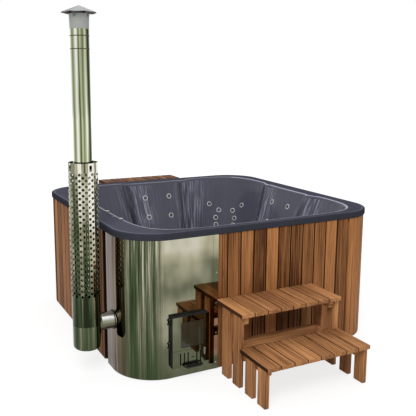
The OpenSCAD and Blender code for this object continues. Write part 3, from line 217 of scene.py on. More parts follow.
def metal(name, tint, rough, streak=0.05, metallic=1.0):
    """Worked metal with faint upright brushing and smudges in the roughness."""
    g = Skin(name)
    brush = g.noise(g.coords((220, 220, 3)), 1.0, 3.0, 0.6)
    smudge = g.noise(g.coords(), 6.0, 4.0, 0.6)
    return g.surface(
        base_color=g.mix(brush, scaled(tint, 1 - streak), scaled(tint, 1 + streak)),
        metallic=metallic,
        roughness=g.math("MULTIPLY_ADD", smudge, rough * 0.7, rough * 0.6),
        normal=g.bump(brush, 0.06, 0.0004),
    )


MIRROR_ROUGH = 0.05
TOP_OF_LIFT = 1.3  # the height up to which tone and contrast change
# Slope and offset of the shares that grow from 0 to 1 as a face turns to the front or to the left.
FRONT_TURN, LEFT_TURN = (-14.0, -12.9), (-6.0, -4.9)
# The painted reflection bands of a round pipe run along this direction, which is given at half length.
BAND_X, BAND_Y = 0.45, -0.219

# Painted reflection of the brown timber on the faces of the cover towards the left.
SIDE_REFLECTION_TONES = [
    (0.38, (0.040, 0.020, 0.011)),
    (0.52, (0.085, 0.050, 0.029)),
    (0.64, (0.14, 0.100, 0.068)),
    (0.78, (0.25, 0.215, 0.165)),
]
# The painted reflection of the steps, warm in tone: where it starts and the slope of its edge, for each
# of its three edges.
STEPS_REFLECTION_LEFT, STEPS_REFLECTION_TOP, STEPS_REFLECTION_FOOT = (-0.58, 8.0), (0.60, -6.0), (1.2 / 14.0, 14.0)
REFLECTED_STRIP_LEFT = (-0.47, 30.0)
STEPS_REFLECTION_TONE, STEPS_REFLECTION_SHARE, REFLECTED_STRIP_TONE = (0.50, 0.41, 0.30), 0.7, (0.24, 0.13, 0.075)


def steps_reflection(g, col, x, z, front):
    """Paints a reflection of the steps on the front where it faces them, with a brown strip of painted
    reflection right beside them.
    """
    def edge(value, start, slope):
        return g.math("MULTIPLY_ADD", value, slope, -start * slope)

    gleam = g.math("MINIMUM", edge(x, *STEPS_REFLECTION_LEFT), edge(z, *STEPS_REFLECTION_TOP))
    gleam = g.math("MULTIPLY", g.clamped(g.math("MINIMUM", gleam, edge(z, *STEPS_REFLECTION_FOOT))), front)
    col = g.mix(g.math("MULTIPLY", gleam, STEPS_REFLECTION_SHARE), col, STEPS_REFLECTION_TONE)
    return g.mix(g.clamped(edge(x, *REFLECTED_STRIP_LEFT), gleam), col, REFLECTED_STRIP_TONE)


def painted_reflection_steel(name, spread, drift, stops, tall=(0.35, 0.9, 0.55), lift=(0.16, -0.08), wave=0.04,
           flat=None, round_bands=None, inward=0.0, warm=False):
    """Polished sheet whose base colour is a painted reflection in garden tones, as polished sheet shows
    outdoors.
    The painted bands follow the way the surface faces, so they crowd on a bend and lie wide on a flat.
    tall: how fast the painted bands change with height, their contrast, and its gain with height.
    lift: the painted tone's gain with height, and its offset.
    flat: painted tones by height for faces towards the front; faces towards the left get a plain
    streaked one.
    round_bands: painted tones across a round pipe. inward: extra painted tone for faces towards the
    tub.
    warm: with flat, tints the left side and the part by the steps brown, as painted reflections of the
    timber and the steps."""
    g = Skin(name)
    upright, contrast, gain = tall
    at = g.node("ShaderNodeTexCoord").outputs
    bands = g.node("ShaderNodeVectorMath", operation="MULTIPLY_ADD")
    g.put(bands.inputs[0], at["Normal"])
    bands.inputs[1].default_value = (spread, spread, 0.0)
    g.put(bands.inputs[2], g.mapped(at["Object"], (drift, drift, upright)))
    x, _, z = g.split(at["Object"])
    face_x, face_y, _ = g.split(at["Normal"])
    height = g.math("MINIMUM", z, TOP_OF_LIFT)
    swing = g.math("MULTIPLY_ADD", height, gain, contrast)
    tone = g.stretched(g.noise(bands.outputs[0], 1.0, 5.0, 0.66, 0.15), swing)
    tone = g.math("ADD", tone, g.math("MULTIPLY_ADD", height, *lift))
    if inward:
        tone = g.math("ADD", tone, g.math("MULTIPLY", g.math("MAXIMUM", face_x, 0.0), inward))
    if round_bands:
        across = g.math("MULTIPLY_ADD", face_x, BAND_X, g.math("MULTIPLY_ADD", face_y, BAND_Y, 0.5))
        sway = g.noise(g.mapped(at["Object"], (0.3, 0.3, 1.6)), 1.0, 2.0, 0.5)
        banding = g.ramp(g.shifted(across, sway, 0.12), round_bands)
        tone = g.math("ADD", banding, g.math("MULTIPLY_ADD", tone, 0.8, -0.46))
    if flat:
        front = g.clamped(g.math("MULTIPLY_ADD", face_y, *FRONT_TURN))
        left = g.clamped(g.math("MULTIPLY_ADD", face_x, *LEFT_TURN))
        patch = g.noise(g.mapped(at["Object"], (5.0, 5.0, 3.2)), 1.0, 2.0, 0.5)
        streak = g.noise(g.mapped(at["Object"], (26.0, 26.0, 1.2)), 1.0, 2.0, 0.5)
        level = g.shifted(g.shifted(g.ramp(z, flat), patch, 0.34), streak, 0.04)
        tone = g.blend(front, level, tone)
        tone = g.blend(left, g.math("MULTIPLY_ADD", streak, 0.7, 0.27), tone)
    # The base colour is the painted reflection.
    col = g.ramp(tone, stops)
    if warm:
        col = steps_reflection(g, g.mix(left, col, g.ramp(streak, SIDE_REFLECTION_TONES)), x, z, front)
    smudge = g.noise(at["Object"], 9.0, 4.0, 0.6)
    brush = g.noise(g.coords((260, 260, 5)), 1.0, 2.0, 0.5)
    waved = g.bump(g.noise(g.coords((1, 1, 0.4)), 3.0, 1.0, 0.4), wave, 0.02)
    return g.surface(
        base_color=col,
        metallic=1.0,
        roughness=g.math("MULTIPLY_ADD", smudge, MIRROR_ROUGH * 0.8, MIRROR_ROUGH * 0.5),
        normal=g.bump(brush, 0.015, 0.0003, waved),
    )


def level_pipe_painted_reflection():
    """A level polished pipe: a painted highlight along its top, and a painted brown reflection of the
    ground below.
    """
    g = Skin("flue_steel")
    facing = g.split(g.node("ShaderNodeTexCoord").outputs["Normal"])
    rub = g.noise(g.coords((30, 30, 30)), 1.0, 3.0, 0.6)
    turned = g.shifted(g.math("MULTIPLY_ADD", facing["Z"], 0.5, 0.5), rub, 0.10)
    # Painted reflection by how far a face turns up: brown ground below, a bright highlight near the
    # top.
    col = g.ramp(turned, [
        (0.10, (0.06, 0.038, 0.024)),
        (0.48, (0.15, 0.14, 0.095)),
        (0.66, (0.32, 0.32, 0.25)),
        (0.82, (0.92, 0.94, 0.92)),
        (0.93, (0.50, 0.52, 0.48)),
    ])
    return g.surface(base_color=col, metallic=1.0, roughness=g.math("MULTIPLY_ADD", rub, 0.05, 0.04))


def plastic(name, colour, rough, grain=0.12, scale=420.0, level=0.5):
    """Plastic, rubber or paint: patchy in tone and gloss, with a fine grain."""
    g = Skin(name)
    fine = g.noise(g.coords(), scale, 3.0, 0.6)
    tone = g.noise(g.coords(), 7.0, 3.0, 0.5)
    return g.surface(
        base_color=g.mix(tone, scaled(colour, 0.88), scaled(colour, 1.12)),
        roughness=g.shifted(rough, tone, 0.12),
        specular_ior_level=level,
        normal=g.bump(fine, grain, 0.0003),
    )


def glass(name, tint, opacity):
    """Near-opaque dark glass with a mottled tint: painted shade for the unlit firebox behind it."""
    g = Skin(name)
    glass_mottle = g.noise(g.coords(), 14.0, 4.0, 0.6)
    return g.surface(
        base_color=g.mix(glass_mottle, scaled(tint, 0.6), tint),
        roughness=g.math("MULTIPLY_ADD", glass_mottle, 0.08, 0.02),
        specular_ior_level=0.35,
        alpha=opacity,
    )


def acrylic():
    """Grey acrylic. The mesh carries its painted shade and highlights, its gleam and where painted
    upright reflections may show.
    """
    g = Skin("acrylic")
    tone = g.noise(g.coords(), 3.0, 3.0, 0.5)
    fleck = g.noise(g.coords(), 700.0, 2.0, 0.5)
    col = g.mix(tone, (0.060, 0.061, 0.083), (0.086, 0.088, 0.117))
    col = g.mix(g.math("MULTIPLY", fleck, 0.24), col, (0.13, 0.135, 0.17))
    # Painted reflections: upright streaks, light ones near the wall ribs as painted glints, dark ones
    # over the whole wall.
    upright = g.noise(g.mapped(g.attribute("around", "Vector"), (0.95, 1.0, 0.8)), 1.0, 4.0, 0.65)
    light = g.ramp(upright, [(0.48, 0), (0.62, 1)])
    light = g.math("MULTIPLY", g.math("MULTIPLY", light, g.attribute("painted_glint")), 0.62)
    col = g.mix(g.math("MULTIPLY_ADD", upright, 0.5, -0.1), col, (0.036, 0.037, 0.052))
    col = g.mix(light, col, (0.36, 0.38, 0.47))
    return g.surface(
        # The colour times the painted shade and highlights that the mesh carries.
        base_color=g.mix(1.0, col, g.attribute("painted_light"), "MULTIPLY"),
        roughness=g.math("MULTIPLY_ADD", tone, 0.10, 0.14),
        specular_ior_level=g.math("MULTIPLY", g.attribute("gleam"), 0.16),
        normal=g.bump(g.noise(g.coords(), 5.0, 2.0, 0.5), 0.05, 0.01),
    )


# Materials.

THERMO = wood("thermo_wood", (0.040, 0.012, 0.004), (0.43, 0.185, 0.066))
STEP_WOOD = wood("step_wood", (0.062, 0.019, 0.006), (0.56, 0.265, 0.110))
FRAME_WOOD = wood("frame_wood", (0.33, 0.22, 0.12), (0.68, 0.52, 0.33), rough=0.7)
TREATED = wood("treated_wood", (0.030, 0.014, 0.007), (0.14, 0.075, 0.036), rough=0.75)
# Painted shade: very dark wood for the board sides that look into the gaps between boards.
GAP_SHADE_WOOD = wood("board_sides_painted_shade", (0.016, 0.006, 0.003), (0.075, 0.028, 0.011), rough=0.75)

# Painted reflections: the tones of a garden as polished steel shows them, used as base colour.
GARDEN_REFLECTION = [
    (0.24, (0.016, 0.022, 0.012)),
    (0.40, (0.052, 0.074, 0.034)),
    (0.50, (0.118, 0.124, 0.078)),
    (0.62, (0.36, 0.34, 0.235)),
    (0.78, (0.74, 0.72, 0.64)),
]
BEND_REFLECTION = GARDEN_REFLECTION + [(0.90, (0.78, 0.82, 0.88))]
LAWN_REFLECTION = [
    (0.24, (0.020, 0.028, 0.012)),
    (0.40, (0.085, 0.115, 0.048)),
    (0.50, (0.205, 0.240, 0.125)),
    (0.62, (0.41, 0.43, 0.28)),
    (0.78, (0.73, 0.75, 0.66)),
    (0.92, (0.84, 0.87, 0.92)),
]
# Painted reflection tones by height for the flat fronts of the cover and the door, and across the pipe.
FRONT_REFLECTION_LEVELS = [
    (0.02, 0.46), (0.12, 0.50), (0.32, 0.58), (0.50, 0.57),
    (0.62, 0.49), (0.78, 0.52), (0.88, 0.64), (1.00, 0.67),
]
DOOR_REFLECTION_LEVELS = [(0.05, 0.45), (0.20, 0.48), (0.42, 0.52)]
PIPE_REFLECTION_BANDS = [
    (0.06, 0.78), (0.16, 0.52), (0.30, 0.80), (0.42, 0.78), (0.50, 0.44),
    (0.58, 0.70), (0.70, 0.50), (0.82, 0.72), (0.93, 0.26),
]
# Polished steel whose base colours are painted reflections.
COVER_STEEL = painted_reflection_steel("cover_steel", 15.0, 1.3, BEND_REFLECTION, (1.0, 0.48, 1.45), (0.09, -0.12),
                     flat=FRONT_REFLECTION_LEVELS, warm=True)
DOOR_STEEL = painted_reflection_steel("door_steel", 4.0, 1.0, GARDEN_REFLECTION, wave=0.0, flat=DOOR_REFLECTION_LEVELS)
PIPE_STEEL = painted_reflection_steel("pipe_steel", 2.6, 0.4, LAWN_REFLECTION, (0.5, 0.75, 0.3), (0.05, -0.02),
                    round_bands=PIPE_REFLECTION_BANDS)
SOOT_STEEL = painted_reflection_steel("soot_steel", 3.0, 0.4, GARDEN_REFLECTION, (0.5, 0.7, 0.5), (0.10, -0.12))
LOWER_STEEL = painted_reflection_steel("lower_steel", 2.8, 0.4, GARDEN_REFLECTION, (0.5, 0.9, 0.5), (0.10, -0.07))
SHIELD_STEEL = painted_reflection_steel("shield_steel", 3.4, 0.4, GARDEN_REFLECTION, (0.6, 1.3, 0.6), (0.44, -0.43), inward=0.22)
FLUE_STEEL = level_pipe_painted_reflection()

SATIN = metal("satin_steel", (0.42, 0.42, 0.41), 0.34, metallic=0.8)
MATT_STEEL = metal("matt_steel", (0.30, 0.31, 0.29), 0.5, metallic=0.5)
DARK_STEEL = metal("dark_steel", (0.060, 0.054, 0.045), 0.30)
STOVE_STEEL = metal("stove_steel", (0.45, 0.45, 0.43), 0.32)
ROOF_STEEL = metal("roof_steel", (0.17, 0.183, 0.183), 0.5, 0.1, metallic=0.45)
DARK_BROWN_STEEL = metal("roof_underside", (0.060, 0.042, 0.030), 0.6, 0.3, metallic=0.4)
BRASS = metal("brass", (0.62, 0.44, 0.20), 0.30)

BLACK_STEEL = plastic("black_steel", (0.010, 0.010, 0.010), 0.5, 0.2, 900.0, level=0.12)
CAST_IRON = plastic("cast_iron", (0.055, 0.055, 0.052), 0.62, 0.5, 500.0)
SEAL = plastic("seal_rubber", (0.018, 0.018, 0.018), 0.6)
PIPE_PLASTIC = plastic("pipe_plastic", (0.72, 0.72, 0.70), 0.34)
DARK_PLASTIC = plastic("dark_plastic", (0.03, 0.03, 0.033), 0.4)
RED_PLASTIC = plastic("red_plastic", (0.42, 0.03, 0.02), 0.4)
JET_RING = plastic("jet_ring", (0.60, 0.60, 0.61), 0.3)

# Dark and near-opaque: painted shade for the unlit firebox behind the window.
GLASS = glass("stove_glass", (0.040, 0.036, 0.020), 0.97)
ACRYLIC = acrylic()


# Mesh building.

def add_mesh(name, bm, material, body, nodes, smooth=True, angle=0.6):
    """Make the piece, with edges sharper than angle left sharp. It takes the place of the nodes."""
    bm.normal_update()
    for face in bm.faces:
        face.smooth = smooth
    if smooth:
        for e in bm.edges:
            if len(e.link_faces) == 2 and e.calc_face_angle(0) > angle:
                e.smooth = False
    mesh = bpy.data.meshes.new(name)
    bm.to_mesh(mesh)
    bm.free()
    obj = bpy.data.objects.new(name, mesh)
    scene.collection.objects.link(obj)
    mesh.materials.append(material)
    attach(obj, body)
    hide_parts(*nodes)
    return obj


def body_of_node(node):
    for b, holder in frame["bodies"].items():
        if NODES[node].parent is holder:
            return b
    raise ValueError(node)


def clean_copy(node):
    """The node's mesh as welded faces, without its triangulation."""
    bm = bmesh.new()
    bm.from_mesh(NODES[node].data)
    bmesh.ops.remove_doubles(bm, verts=bm.verts, dist=1e-6)
    bmesh.ops.dissolve_limit(bm, angle_limit=0.004, verts=bm.verts, edges=bm.edges, delimit={"NORMAL"})
    return bm


def islands(bm):
    """The vertices of each separate solid."""
    seen, found = set(), []
    for start in bm.verts:
        if start in seen:
            continue
        stack, part = [start], []
        seen.add(start)
        while stack:
            v = stack.pop()
            part.append(v)
            for e in v.link_edges:
                w = e.other_vert(v)
                if w not in seen:
                    seen.add(w)
                    stack.append(w)
        found.append(part)
    return found


def axes_of(part):
    """The grain runs along a board's longest edge; the second axis is its longest edge across that.
    Of equally long edges the first one met counts, so that the choice is the same in every run."""
    edges = dict.fromkeys(e for v in part for e in v.link_edges)
    runs = sorted(((e.verts[1].co - e.verts[0].co) for e in edges), key=lambda d: -d.length)
    along = runs[0].normalized()
    across = next((d for d in runs if abs(d.normalized().dot(along)) < 0.1), None)
    if across:
        across = (across - along * across.dot(along)).normalized()
    else:
        across = along.orthogonal().normalized()
    return along, across, along.cross(across)


def soften(bm, width, least=0.5):
    """Round the edges that turn by more than least and are long enough for it."""
    sharp = [
        e for e in bm.edges
        if len(e.link_faces) == 2 and e.calc_face_angle(0) > least and e.calc_length() > 3 * width
    ]
    if sharp:
        bmesh.ops.bevel(bm, geom=sharp, offset=width, segments=2, profile=0.6,
                        affect="EDGES", clamp_overlap=True)


def net(bm, rings):
    """Close the bands between rings of as many vertices each. Gives the faces band by band."""
    bands = []
    for lo, hi in zip(rings, rings[1:]):
        after = [(j + 1) % len(lo) for j in range(len(lo))]
        bands.append([bm.faces.new((lo[j], lo[k], hi[k], hi[j])) for j, k in enumerate(after)])
    return bands


def second_material(mesh, material, wanted):
    """Add a material and give it to the faces for which wanted is true."""
    mesh.materials.append(material)
    for poly in mesh.polygons:
        poly.material_index = int(wanted(poly))


GRAIN_SPREAD = (40, 9, 9)  # how far apart in the grain two boards can be cut


def timber(name, nodes, material, slot, width, seed, tones, sides):
    """Boards of some CAD nodes with rounded arrises, grain coordinates and a tone for each board.
    The sides that look into the gaps between boards can have a material of their own, which paints the
    shade in the gaps."""
    rnd = random.Random(seed)
    bm = bmesh.new()
    for node in nodes:
        part = clean_copy(node)
        mesh = bpy.data.meshes.new("scratch")
        part.to_mesh(mesh)
        part.free()
        bm.from_mesh(mesh)
        bpy.data.meshes.remove(mesh)
    grain = bm.verts.layers.float_vector.new("grain")
    tone = bm.verts.layers.float.new("board")
    number = bm.verts.layers.int.new("n")
    boards = []
    for part in islands(bm):
        mid = sum((v.co for v in part), Vector()) / len(part)
        board_tone = rnd.uniform(*tones)
        cut = Vector([rnd.uniform(0, far) for far in GRAIN_SPREAD])
        for v in part:
            v[number] = len(boards)
        boards.append((axes_of(part), mid, board_tone, cut))
    soften(bm, width)
    bm.normal_update()
    for part in islands(bm):
        (along, across, up), mid, board_tone, cut = boards[part[0][number]]
        # The faces that look across the board, into the gaps, get the painted shade.
        if sides:
            for face in {f for v in part for f in v.link_faces}:
                face.material_index = int(abs(face.normal.dot(across)) > 0.9)
        for v in part:
            d = v.co - mid
            v[grain] = Vector((d.dot(along), d.dot(across), d.dot(up))) + cut
            v[tone] = board_tone
    obj = add_mesh(name, bm, material, body_of_node(nodes[0]), nodes, angle=0.9)
    if sides:
        obj.data.materials.append(sides)


def paint(material, *names):
    for n in names:
        mesh = NODES[n].data
        mesh.materials.clear()
        mesh.materials.append(material)


# The tub moulding, on the same outlines as the CAD solid but on a finer net.
# Bearings are in degrees from the X axis, round the middle of the mouth. Lengths are in metres.

HALF, RIM_HALF, RIM_R, TUB_H, RIM_Z = 1.037, 1.046, 0.312, 1.0, 0.956
SEAT_Z, FLOOR_Z, SHELL_T = 0.480, 0.121, 0.008
MID_X, MID_Y, MOUTH_X, MOUTH_Y = 0.036, -0.0125, 0.901, 0.9625
WELL_X, WELL_Y = 0.380, 0.400
LEAN = math.tan(math.radians(20))
MOUTH_POWER, WELL_POWER = 6, 4
# Swellings of the wall into the mouth: depth, bearing, half width and how square they are.
SWELLS = [(0.062, 90.7, 16.5, 8), (0.040, -0.5, 19.5, 8)]
WALL_RIBS, RIB_DEPTH = (107.7, 73.8, 21.0, -20.2), 0.030
LIP, ROLL = 0.010, 0.024  # rounding of the rim's upper edge, and drop of the roll into the mouth
FOOT_RISE, FOOT_REACH = 0.030, 0.040  # of the curve from the wall to the seat
WELL_EDGE, WELL_DROP = 0.021, 0.020
WELL_FOOT, WELL_TOE, FLOOR_ROUND = 0.060, 0.090, 0.024
DECK_STEPS, WALL_STEPS, SEAT_STEPS, WELL_STEPS = 14, 12, 5, 5
TURNS = 480  # vertices in each ring
TINY, FAR = 1e-9, 1e9


def bump_at(a, at, spread, power):
    """1 at the bearing at, falling to a half at spread from it."""
    d = (a - at + 180) % 360 - 180
    return 1 / (1 + (abs(d) / spread) ** power)


def ribs_at(a, off, spread):
    """How far a wall rib reaches at a bearing, with the ribs moved by off."""
    return sum(bump_at(a, w + off, spread, 4) for w in WALL_RIBS)


def oval(a, hx, hy, power):
    c, s = abs(math.cos(math.radians(a))), abs(math.sin(math.radians(a)))
    return ((c / hx) ** power + (s / hy) ** power) ** (-1 / power)


def well(a):
    return oval(a, WELL_X, WELL_Y, WELL_POWER)


def mouth(a):
    swell = sum(depth * bump_at(a, at, spread, power) for depth, at, spread, power in SWELLS)
    return oval(a, MOUTH_X, MOUTH_Y, MOUTH_POWER) - swell - RIB_DEPTH * ribs_at(a, 0, 2.5)


def rim(a, inset):
    """Distance from the middle of the mouth to the rim's outline, a square with round corners."""
    h, r = RIM_HALF - inset, RIM_R - inset
    c, s = math.cos(math.radians(a)), math.sin(math.radians(a))
    tx = (math.copysign(h, c) - MID_X) / c if abs(c) > TINY else FAR
    ty = (math.copysign(h, s) - MID_Y) / s if abs(s) > TINY else FAR
    t = min(tx, ty)
    x, y, k = MID_X + t * c, MID_Y + t * s, h - r
    if abs(x) > k and abs(y) > k:
        kx, ky = math.copysign(k, x), math.copysign(k, y)
        b = (kx - MID_X) * c + (ky - MID_Y) * s
        q = (kx - MID_X) ** 2 + (ky - MID_Y) ** 2 - r * r
        t = b + math.sqrt(max(0, b * b - q))
    return t


def arc(kind, start, end, corner, n):
    """Points of a quarter-like turn between two (inset, z) points, pulled towards its corner."""
    out = []
    for k in range(1, n + 1):
        t = k / n
        out.append((kind, *((1 - t) ** 2 * s + 2 * t * (1 - t) * c + t * t * e
                            for s, c, e in zip(start, corner, end))))
    return out


def wall_in(z):
    """How far the leaning wall has moved in from the mouth at a height."""
    return 0.002 + (TUB_H - 0.012 - z) * LEAN


FOOT = SEAT_Z + FOOT_RISE


def profile():
    """(kind, inset, z) for each ring. Kinds deck and seat give a share of the way in as their inset."""
    p = [("rim", 0.004, RIM_Z), ("rim", 0.0, RIM_Z + 0.004), ("rim", 0.0, TUB_H - LIP)]
    p += arc("rim", (0.0, TUB_H - LIP), (LIP, TUB_H), (0.0, TUB_H), 6)
    p += [("deck", k / DECK_STEPS, TUB_H) for k in range(1, DECK_STEPS)]
    p += [("mouth", -LIP, TUB_H)]
    p += arc("mouth", (-LIP, TUB_H), (wall_in(TUB_H - ROLL), TUB_H - ROLL), (0.0, TUB_H), 8)
    for k in range(1, WALL_STEPS + 1):
        z = TUB_H - ROLL + (FOOT - TUB_H + ROLL) * k / WALL_STEPS
        p.append(("mouth", wall_in(z), z))
    w = wall_in(FOOT)
    p += arc("mouth", (w, FOOT), (w + FOOT_REACH, SEAT_Z), (w + 0.010, SEAT_Z), 8)
    p += [("seat", k / SEAT_STEPS, SEAT_Z) for k in range(1, SEAT_STEPS)]
    p += [("well", 0.0, SEAT_Z)]
    p += arc("well", (0.0, SEAT_Z), (WELL_EDGE, SEAT_Z - WELL_DROP), (0.018, SEAT_Z), 6)
    fall = FLOOR_Z + FLOOR_ROUND + WELL_DROP - SEAT_Z
    for k in range(1, WELL_STEPS + 1):
        t = k / WELL_STEPS
        p.append(("well", WELL_EDGE + t * (WELL_FOOT - WELL_EDGE), SEAT_Z - WELL_DROP + t * fall))
    p += arc("well", (WELL_FOOT, FLOOR_Z + FLOOR_ROUND), (WELL_TOE, FLOOR_Z), (0.064, FLOOR_Z), 5)
    p += [("well", 0.15, FLOOR_Z), ("well", 0.25, FLOOR_Z)]
    return p


def radius(kind, inset, a):
    if kind == "rim":
        return rim(a, inset)
    if kind == "mouth":
        return mouth(a) - inset
    if kind == "well":
        return max(well(a) - inset, 0.01)
    if kind == "deck":
        outer, inner = rim(a, LIP), mouth(a) + LIP
    else:
        outer, inner = mouth(a) - wall_in(FOOT) - FOOT_REACH, well(a)
    return outer + (inner - outer) * inset


def spot(r, a):
    """X and Y at a distance from the middle of the mouth on a bearing."""
    return MID_X + r * math.cos(math.radians(a)), MID_Y + r * math.sin(math.radians(a))


def unit(value):
    return min(1.0, max(0.0, value))


SCOOP_FROM, SCOOP_DEPTH = -0.70, 0.012
SCOOP_BACK_Y, SCOOP_FRONT_Y = -0.07, -0.402
DECK_FROM, STEP_LINE_Y, STEP_LINE_W = -0.80, -0.398, 0.014
# Painted shade and highlights on the colour: rim and deck darker; their edges, the step line and the
# roll into the mouth lighter.
RIM_SHADE, DECK_SHADE, LEDGE_LIGHT_GAIN, EDGE_HIGHLIGHT, STEP_LINE_HIGHLIGHT = 0.44, 0.74, 0.16, 1.7, 1.5
ROLL_HIGHLIGHT_NEAR, ROLL_HIGHLIGHT_FAR = 3.6, 1.6
DECK_BEAD_H, DECK_BEAD_AT, DECK_BEAD_W = 0.0015, 322, 14  # the last two in 360 parts of the way in
# Beside each rib of the wall, in degrees from it: the middle and half width of a painted glint and a
# painted shadow.
PAINTED_GLINT, PAINTED_SHADOW, PAINTED_SHADOW_DEPTH = (-3, 7.5), (2.2, 1.3), 0.55
FAR_SIDE = 50.0  # sets the streaks of the back half apart from those of the front half


def deck_shape(x, y, kind, share):
    """The left ledge: a shallow scoop behind a step that runs across it."""
    if kind != "deck" or x > MID_X + SCOOP_FROM:
        return 0.0
    side = min(1.0, max(0.0, min(share, 1 - share) * 3.2 - 0.45) * 2.5)
    back = unit((SCOOP_BACK_Y - y) / 0.14)
    front = unit((y - SCOOP_FRONT_Y) / 0.010)
    return -SCOOP_DEPTH * side * back * front


def painted_rim_light(kind, inset, x, y, z):
    """Painted shade and highlights: the rim is painted darker than the basin, and its edges and the
    step of the left deck get painted highlights.
    """
    if kind == "rim":
        return RIM_SHADE
    if kind == "deck":
        if inset < 1.5 / DECK_STEPS:
            return EDGE_HIGHLIGHT
        left = unit((MID_X + DECK_FROM - x) / 0.04)
        step = left * max(0.0, 1 - abs(y - STEP_LINE_Y) / STEP_LINE_W)
        return DECK_SHADE + LEDGE_LIGHT_GAIN * left * min(1.0, inset * 6) + STEP_LINE_HIGHLIGHT * step
    if kind == "mouth" and z > TUB_H - 0.006:
        near = y < MID_Y - MOUTH_Y + 0.12 or x > MID_X + MOUTH_X - 0.10
        return ROLL_HIGHLIGHT_NEAR if near else ROLL_HIGHLIGHT_FAR
    return 1.0


def tub_moulding():
    """The tub as rings from the rim's lower edge over the deck and the seats to the well's floor."""
    bm = bmesh.new()
    painted_light = bm.verts.layers.float.new("painted_light")
    around = bm.verts.layers.float_vector.new("around")
    painted_glint = bm.verts.layers.float.new("painted_glint")
    gleam = bm.verts.layers.float.new("gleam")
    bearings = [j * 360 / TURNS - 180 for j in range(TURNS)]
    rows = []
    for kind, inset, z in profile():
        row = []
        for a in bearings:
            x, y = spot(radius(kind, inset, a), a)
            dz = deck_shape(x, y, kind, inset)
            if kind == "deck":
                dz += DECK_BEAD_H * bump_at(inset * 360, DECK_BEAD_AT, DECK_BEAD_W, 4)
            v = bm.verts.new((x, y, min(z + dz, TUB_H)))
            v[painted_light] = painted_rim_light(kind, inset, x, y, z)
            v[gleam] = float(kind not in ("rim", "deck"))
            v[around] = Vector((abs(a), 0.0 if a < 0 else FAR_SIDE, z * 4))
            if kind == "mouth" and z < TUB_H - 0.02:
                # Painted glints and painted shadows beside the ribs of the wall.
                v[painted_glint] = min(1.0, ribs_at(a, *PAINTED_GLINT))
                v[painted_light] = 1.0 - PAINTED_SHADOW_DEPTH * ribs_at(a, *PAINTED_SHADOW)
            row.append(v)
        rows.append(row)
    net(bm, rows)
    bm.faces.new(rows[-1])
    # The underside hangs from the rim and only shows from inside the jacket.
    under = [
        ("mouth", wall_in(RIM_Z) - SHELL_T, RIM_Z),
        ("mouth", wall_in(FOOT) - SHELL_T, FOOT),
        ("mouth", wall_in(FOOT) + 0.036 - SHELL_T, SEAT_Z - SHELL_T),
        ("well", -SHELL_T, SEAT_Z - SHELL_T),
        ("well", WELL_FOOT - SHELL_T, FLOOR_Z + 0.020),
        ("well", 0.088, FLOOR_Z - SHELL_T),
    ]
    below = [rows[0]]
    for kind, inset, z in under:
        below.append([bm.verts.new((*spot(radius(kind, inset, a), a), z)) for a in bearings])
    net(bm, below[::-1])
    bm.faces.new(below[-1][::-1])
    add_mesh("tub_moulding", bm, ACRYLIC, "tub", ("acrylic_shell",), angle=0.7)


tub_moulding()

# Timber: name, node, material, slot, rounding of the arrises, seed, tones, material of the sides
# (painted shade in the gaps between boards).

ANY_TONE, LEG_TONES, TREAD_TONES, LID_TONES = (0.0, 1.0), (0.40, 1.0), (0.35, 1.0), (0.0, 0.35)
TIMBERS = [
    ("boards_front", "cladding_front", THERMO, "thermo_wood", 0.0035, 11, ANY_TONE, GAP_SHADE_WOOD),
    ("boards_right", "cladding_right", THERMO, "thermo_wood", 0.0035, 12, ANY_TONE, GAP_SHADE_WOOD),
    ("boards_back", "cladding_back", THERMO, "thermo_wood", 0.0035, 13, ANY_TONE, GAP_SHADE_WOOD),
    ("boards_left", "cladding_left", THERMO, "thermo_wood", 0.0035, 14, ANY_TONE, GAP_SHADE_WOOD),
    ("corner_boards", "corner_slats", THERMO, "thermo_wood", 0.0025, 15, ANY_TONE, None),
    ("step_leg_boards", "step_legs", STEP_WOOD, "thermo_wood", 0.003, 16, LEG_TONES, None),
    ("step_rail_boards", "step_rails", STEP_WOOD, "thermo_wood", 0.003, 17, LEG_TONES, None),
    ("lower_tread_boards", "lower_tread", STEP_WOOD, "thermo_wood", 0.004, 18, TREAD_TONES, GAP_SHADE_WOOD),
    ("upper_tread_boards", "upper_tread", STEP_WOOD, "thermo_wood", 0.004, 19, TREAD_TONES, GAP_SHADE_WOOD),
    ("box_wall_boards", "box_walls", THERMO, "thermo_wood", 0.0035, 20, ANY_TONE, GAP_SHADE_WOOD),
    ("box_lid_boards", "box_lid", THERMO, "thermo_wood", 0.0035, 21, LID_TONES, GAP_SHADE_WOOD),
    ("batten_boards", "lid_battens", THERMO, "thermo_wood", 0.002, 22, ANY_TONE, None),
    ("base_frame_timber", "base_frame", TREATED, "frame_wood", 0.002, 23, ANY_TONE, None),
    ("wall_frame_timber", "wall_frame", TREATED, "frame_wood", 0.002, 24, ANY_TONE, None),
    ("top_ring_timber", "top_ring", TREATED, "frame_wood", 0.002, 25, ANY_TONE, None),
    ("box_frame_timber", "box_frame", FRAME_WOOD, "frame_wood", 0.002, 26, ANY_TONE, None),
    ("base_panel_sheet", "base_panel", FRAME_WOOD, "plywood", 0.001, 27, ANY_TONE, None),
]
for piece, board_node, *looks in TIMBERS:
    timber(piece, [board_node], *looks)


# Stove door and drawer: fronts with painted reflections on boxes whose edges are painted black as the
# shadow gap round them, and a window with round corners.

FACE_T = 0.012  # depth of the mirror front, from the front plane of its box
WINDOW_R, GLASS_LAP = 0.012, 0.007


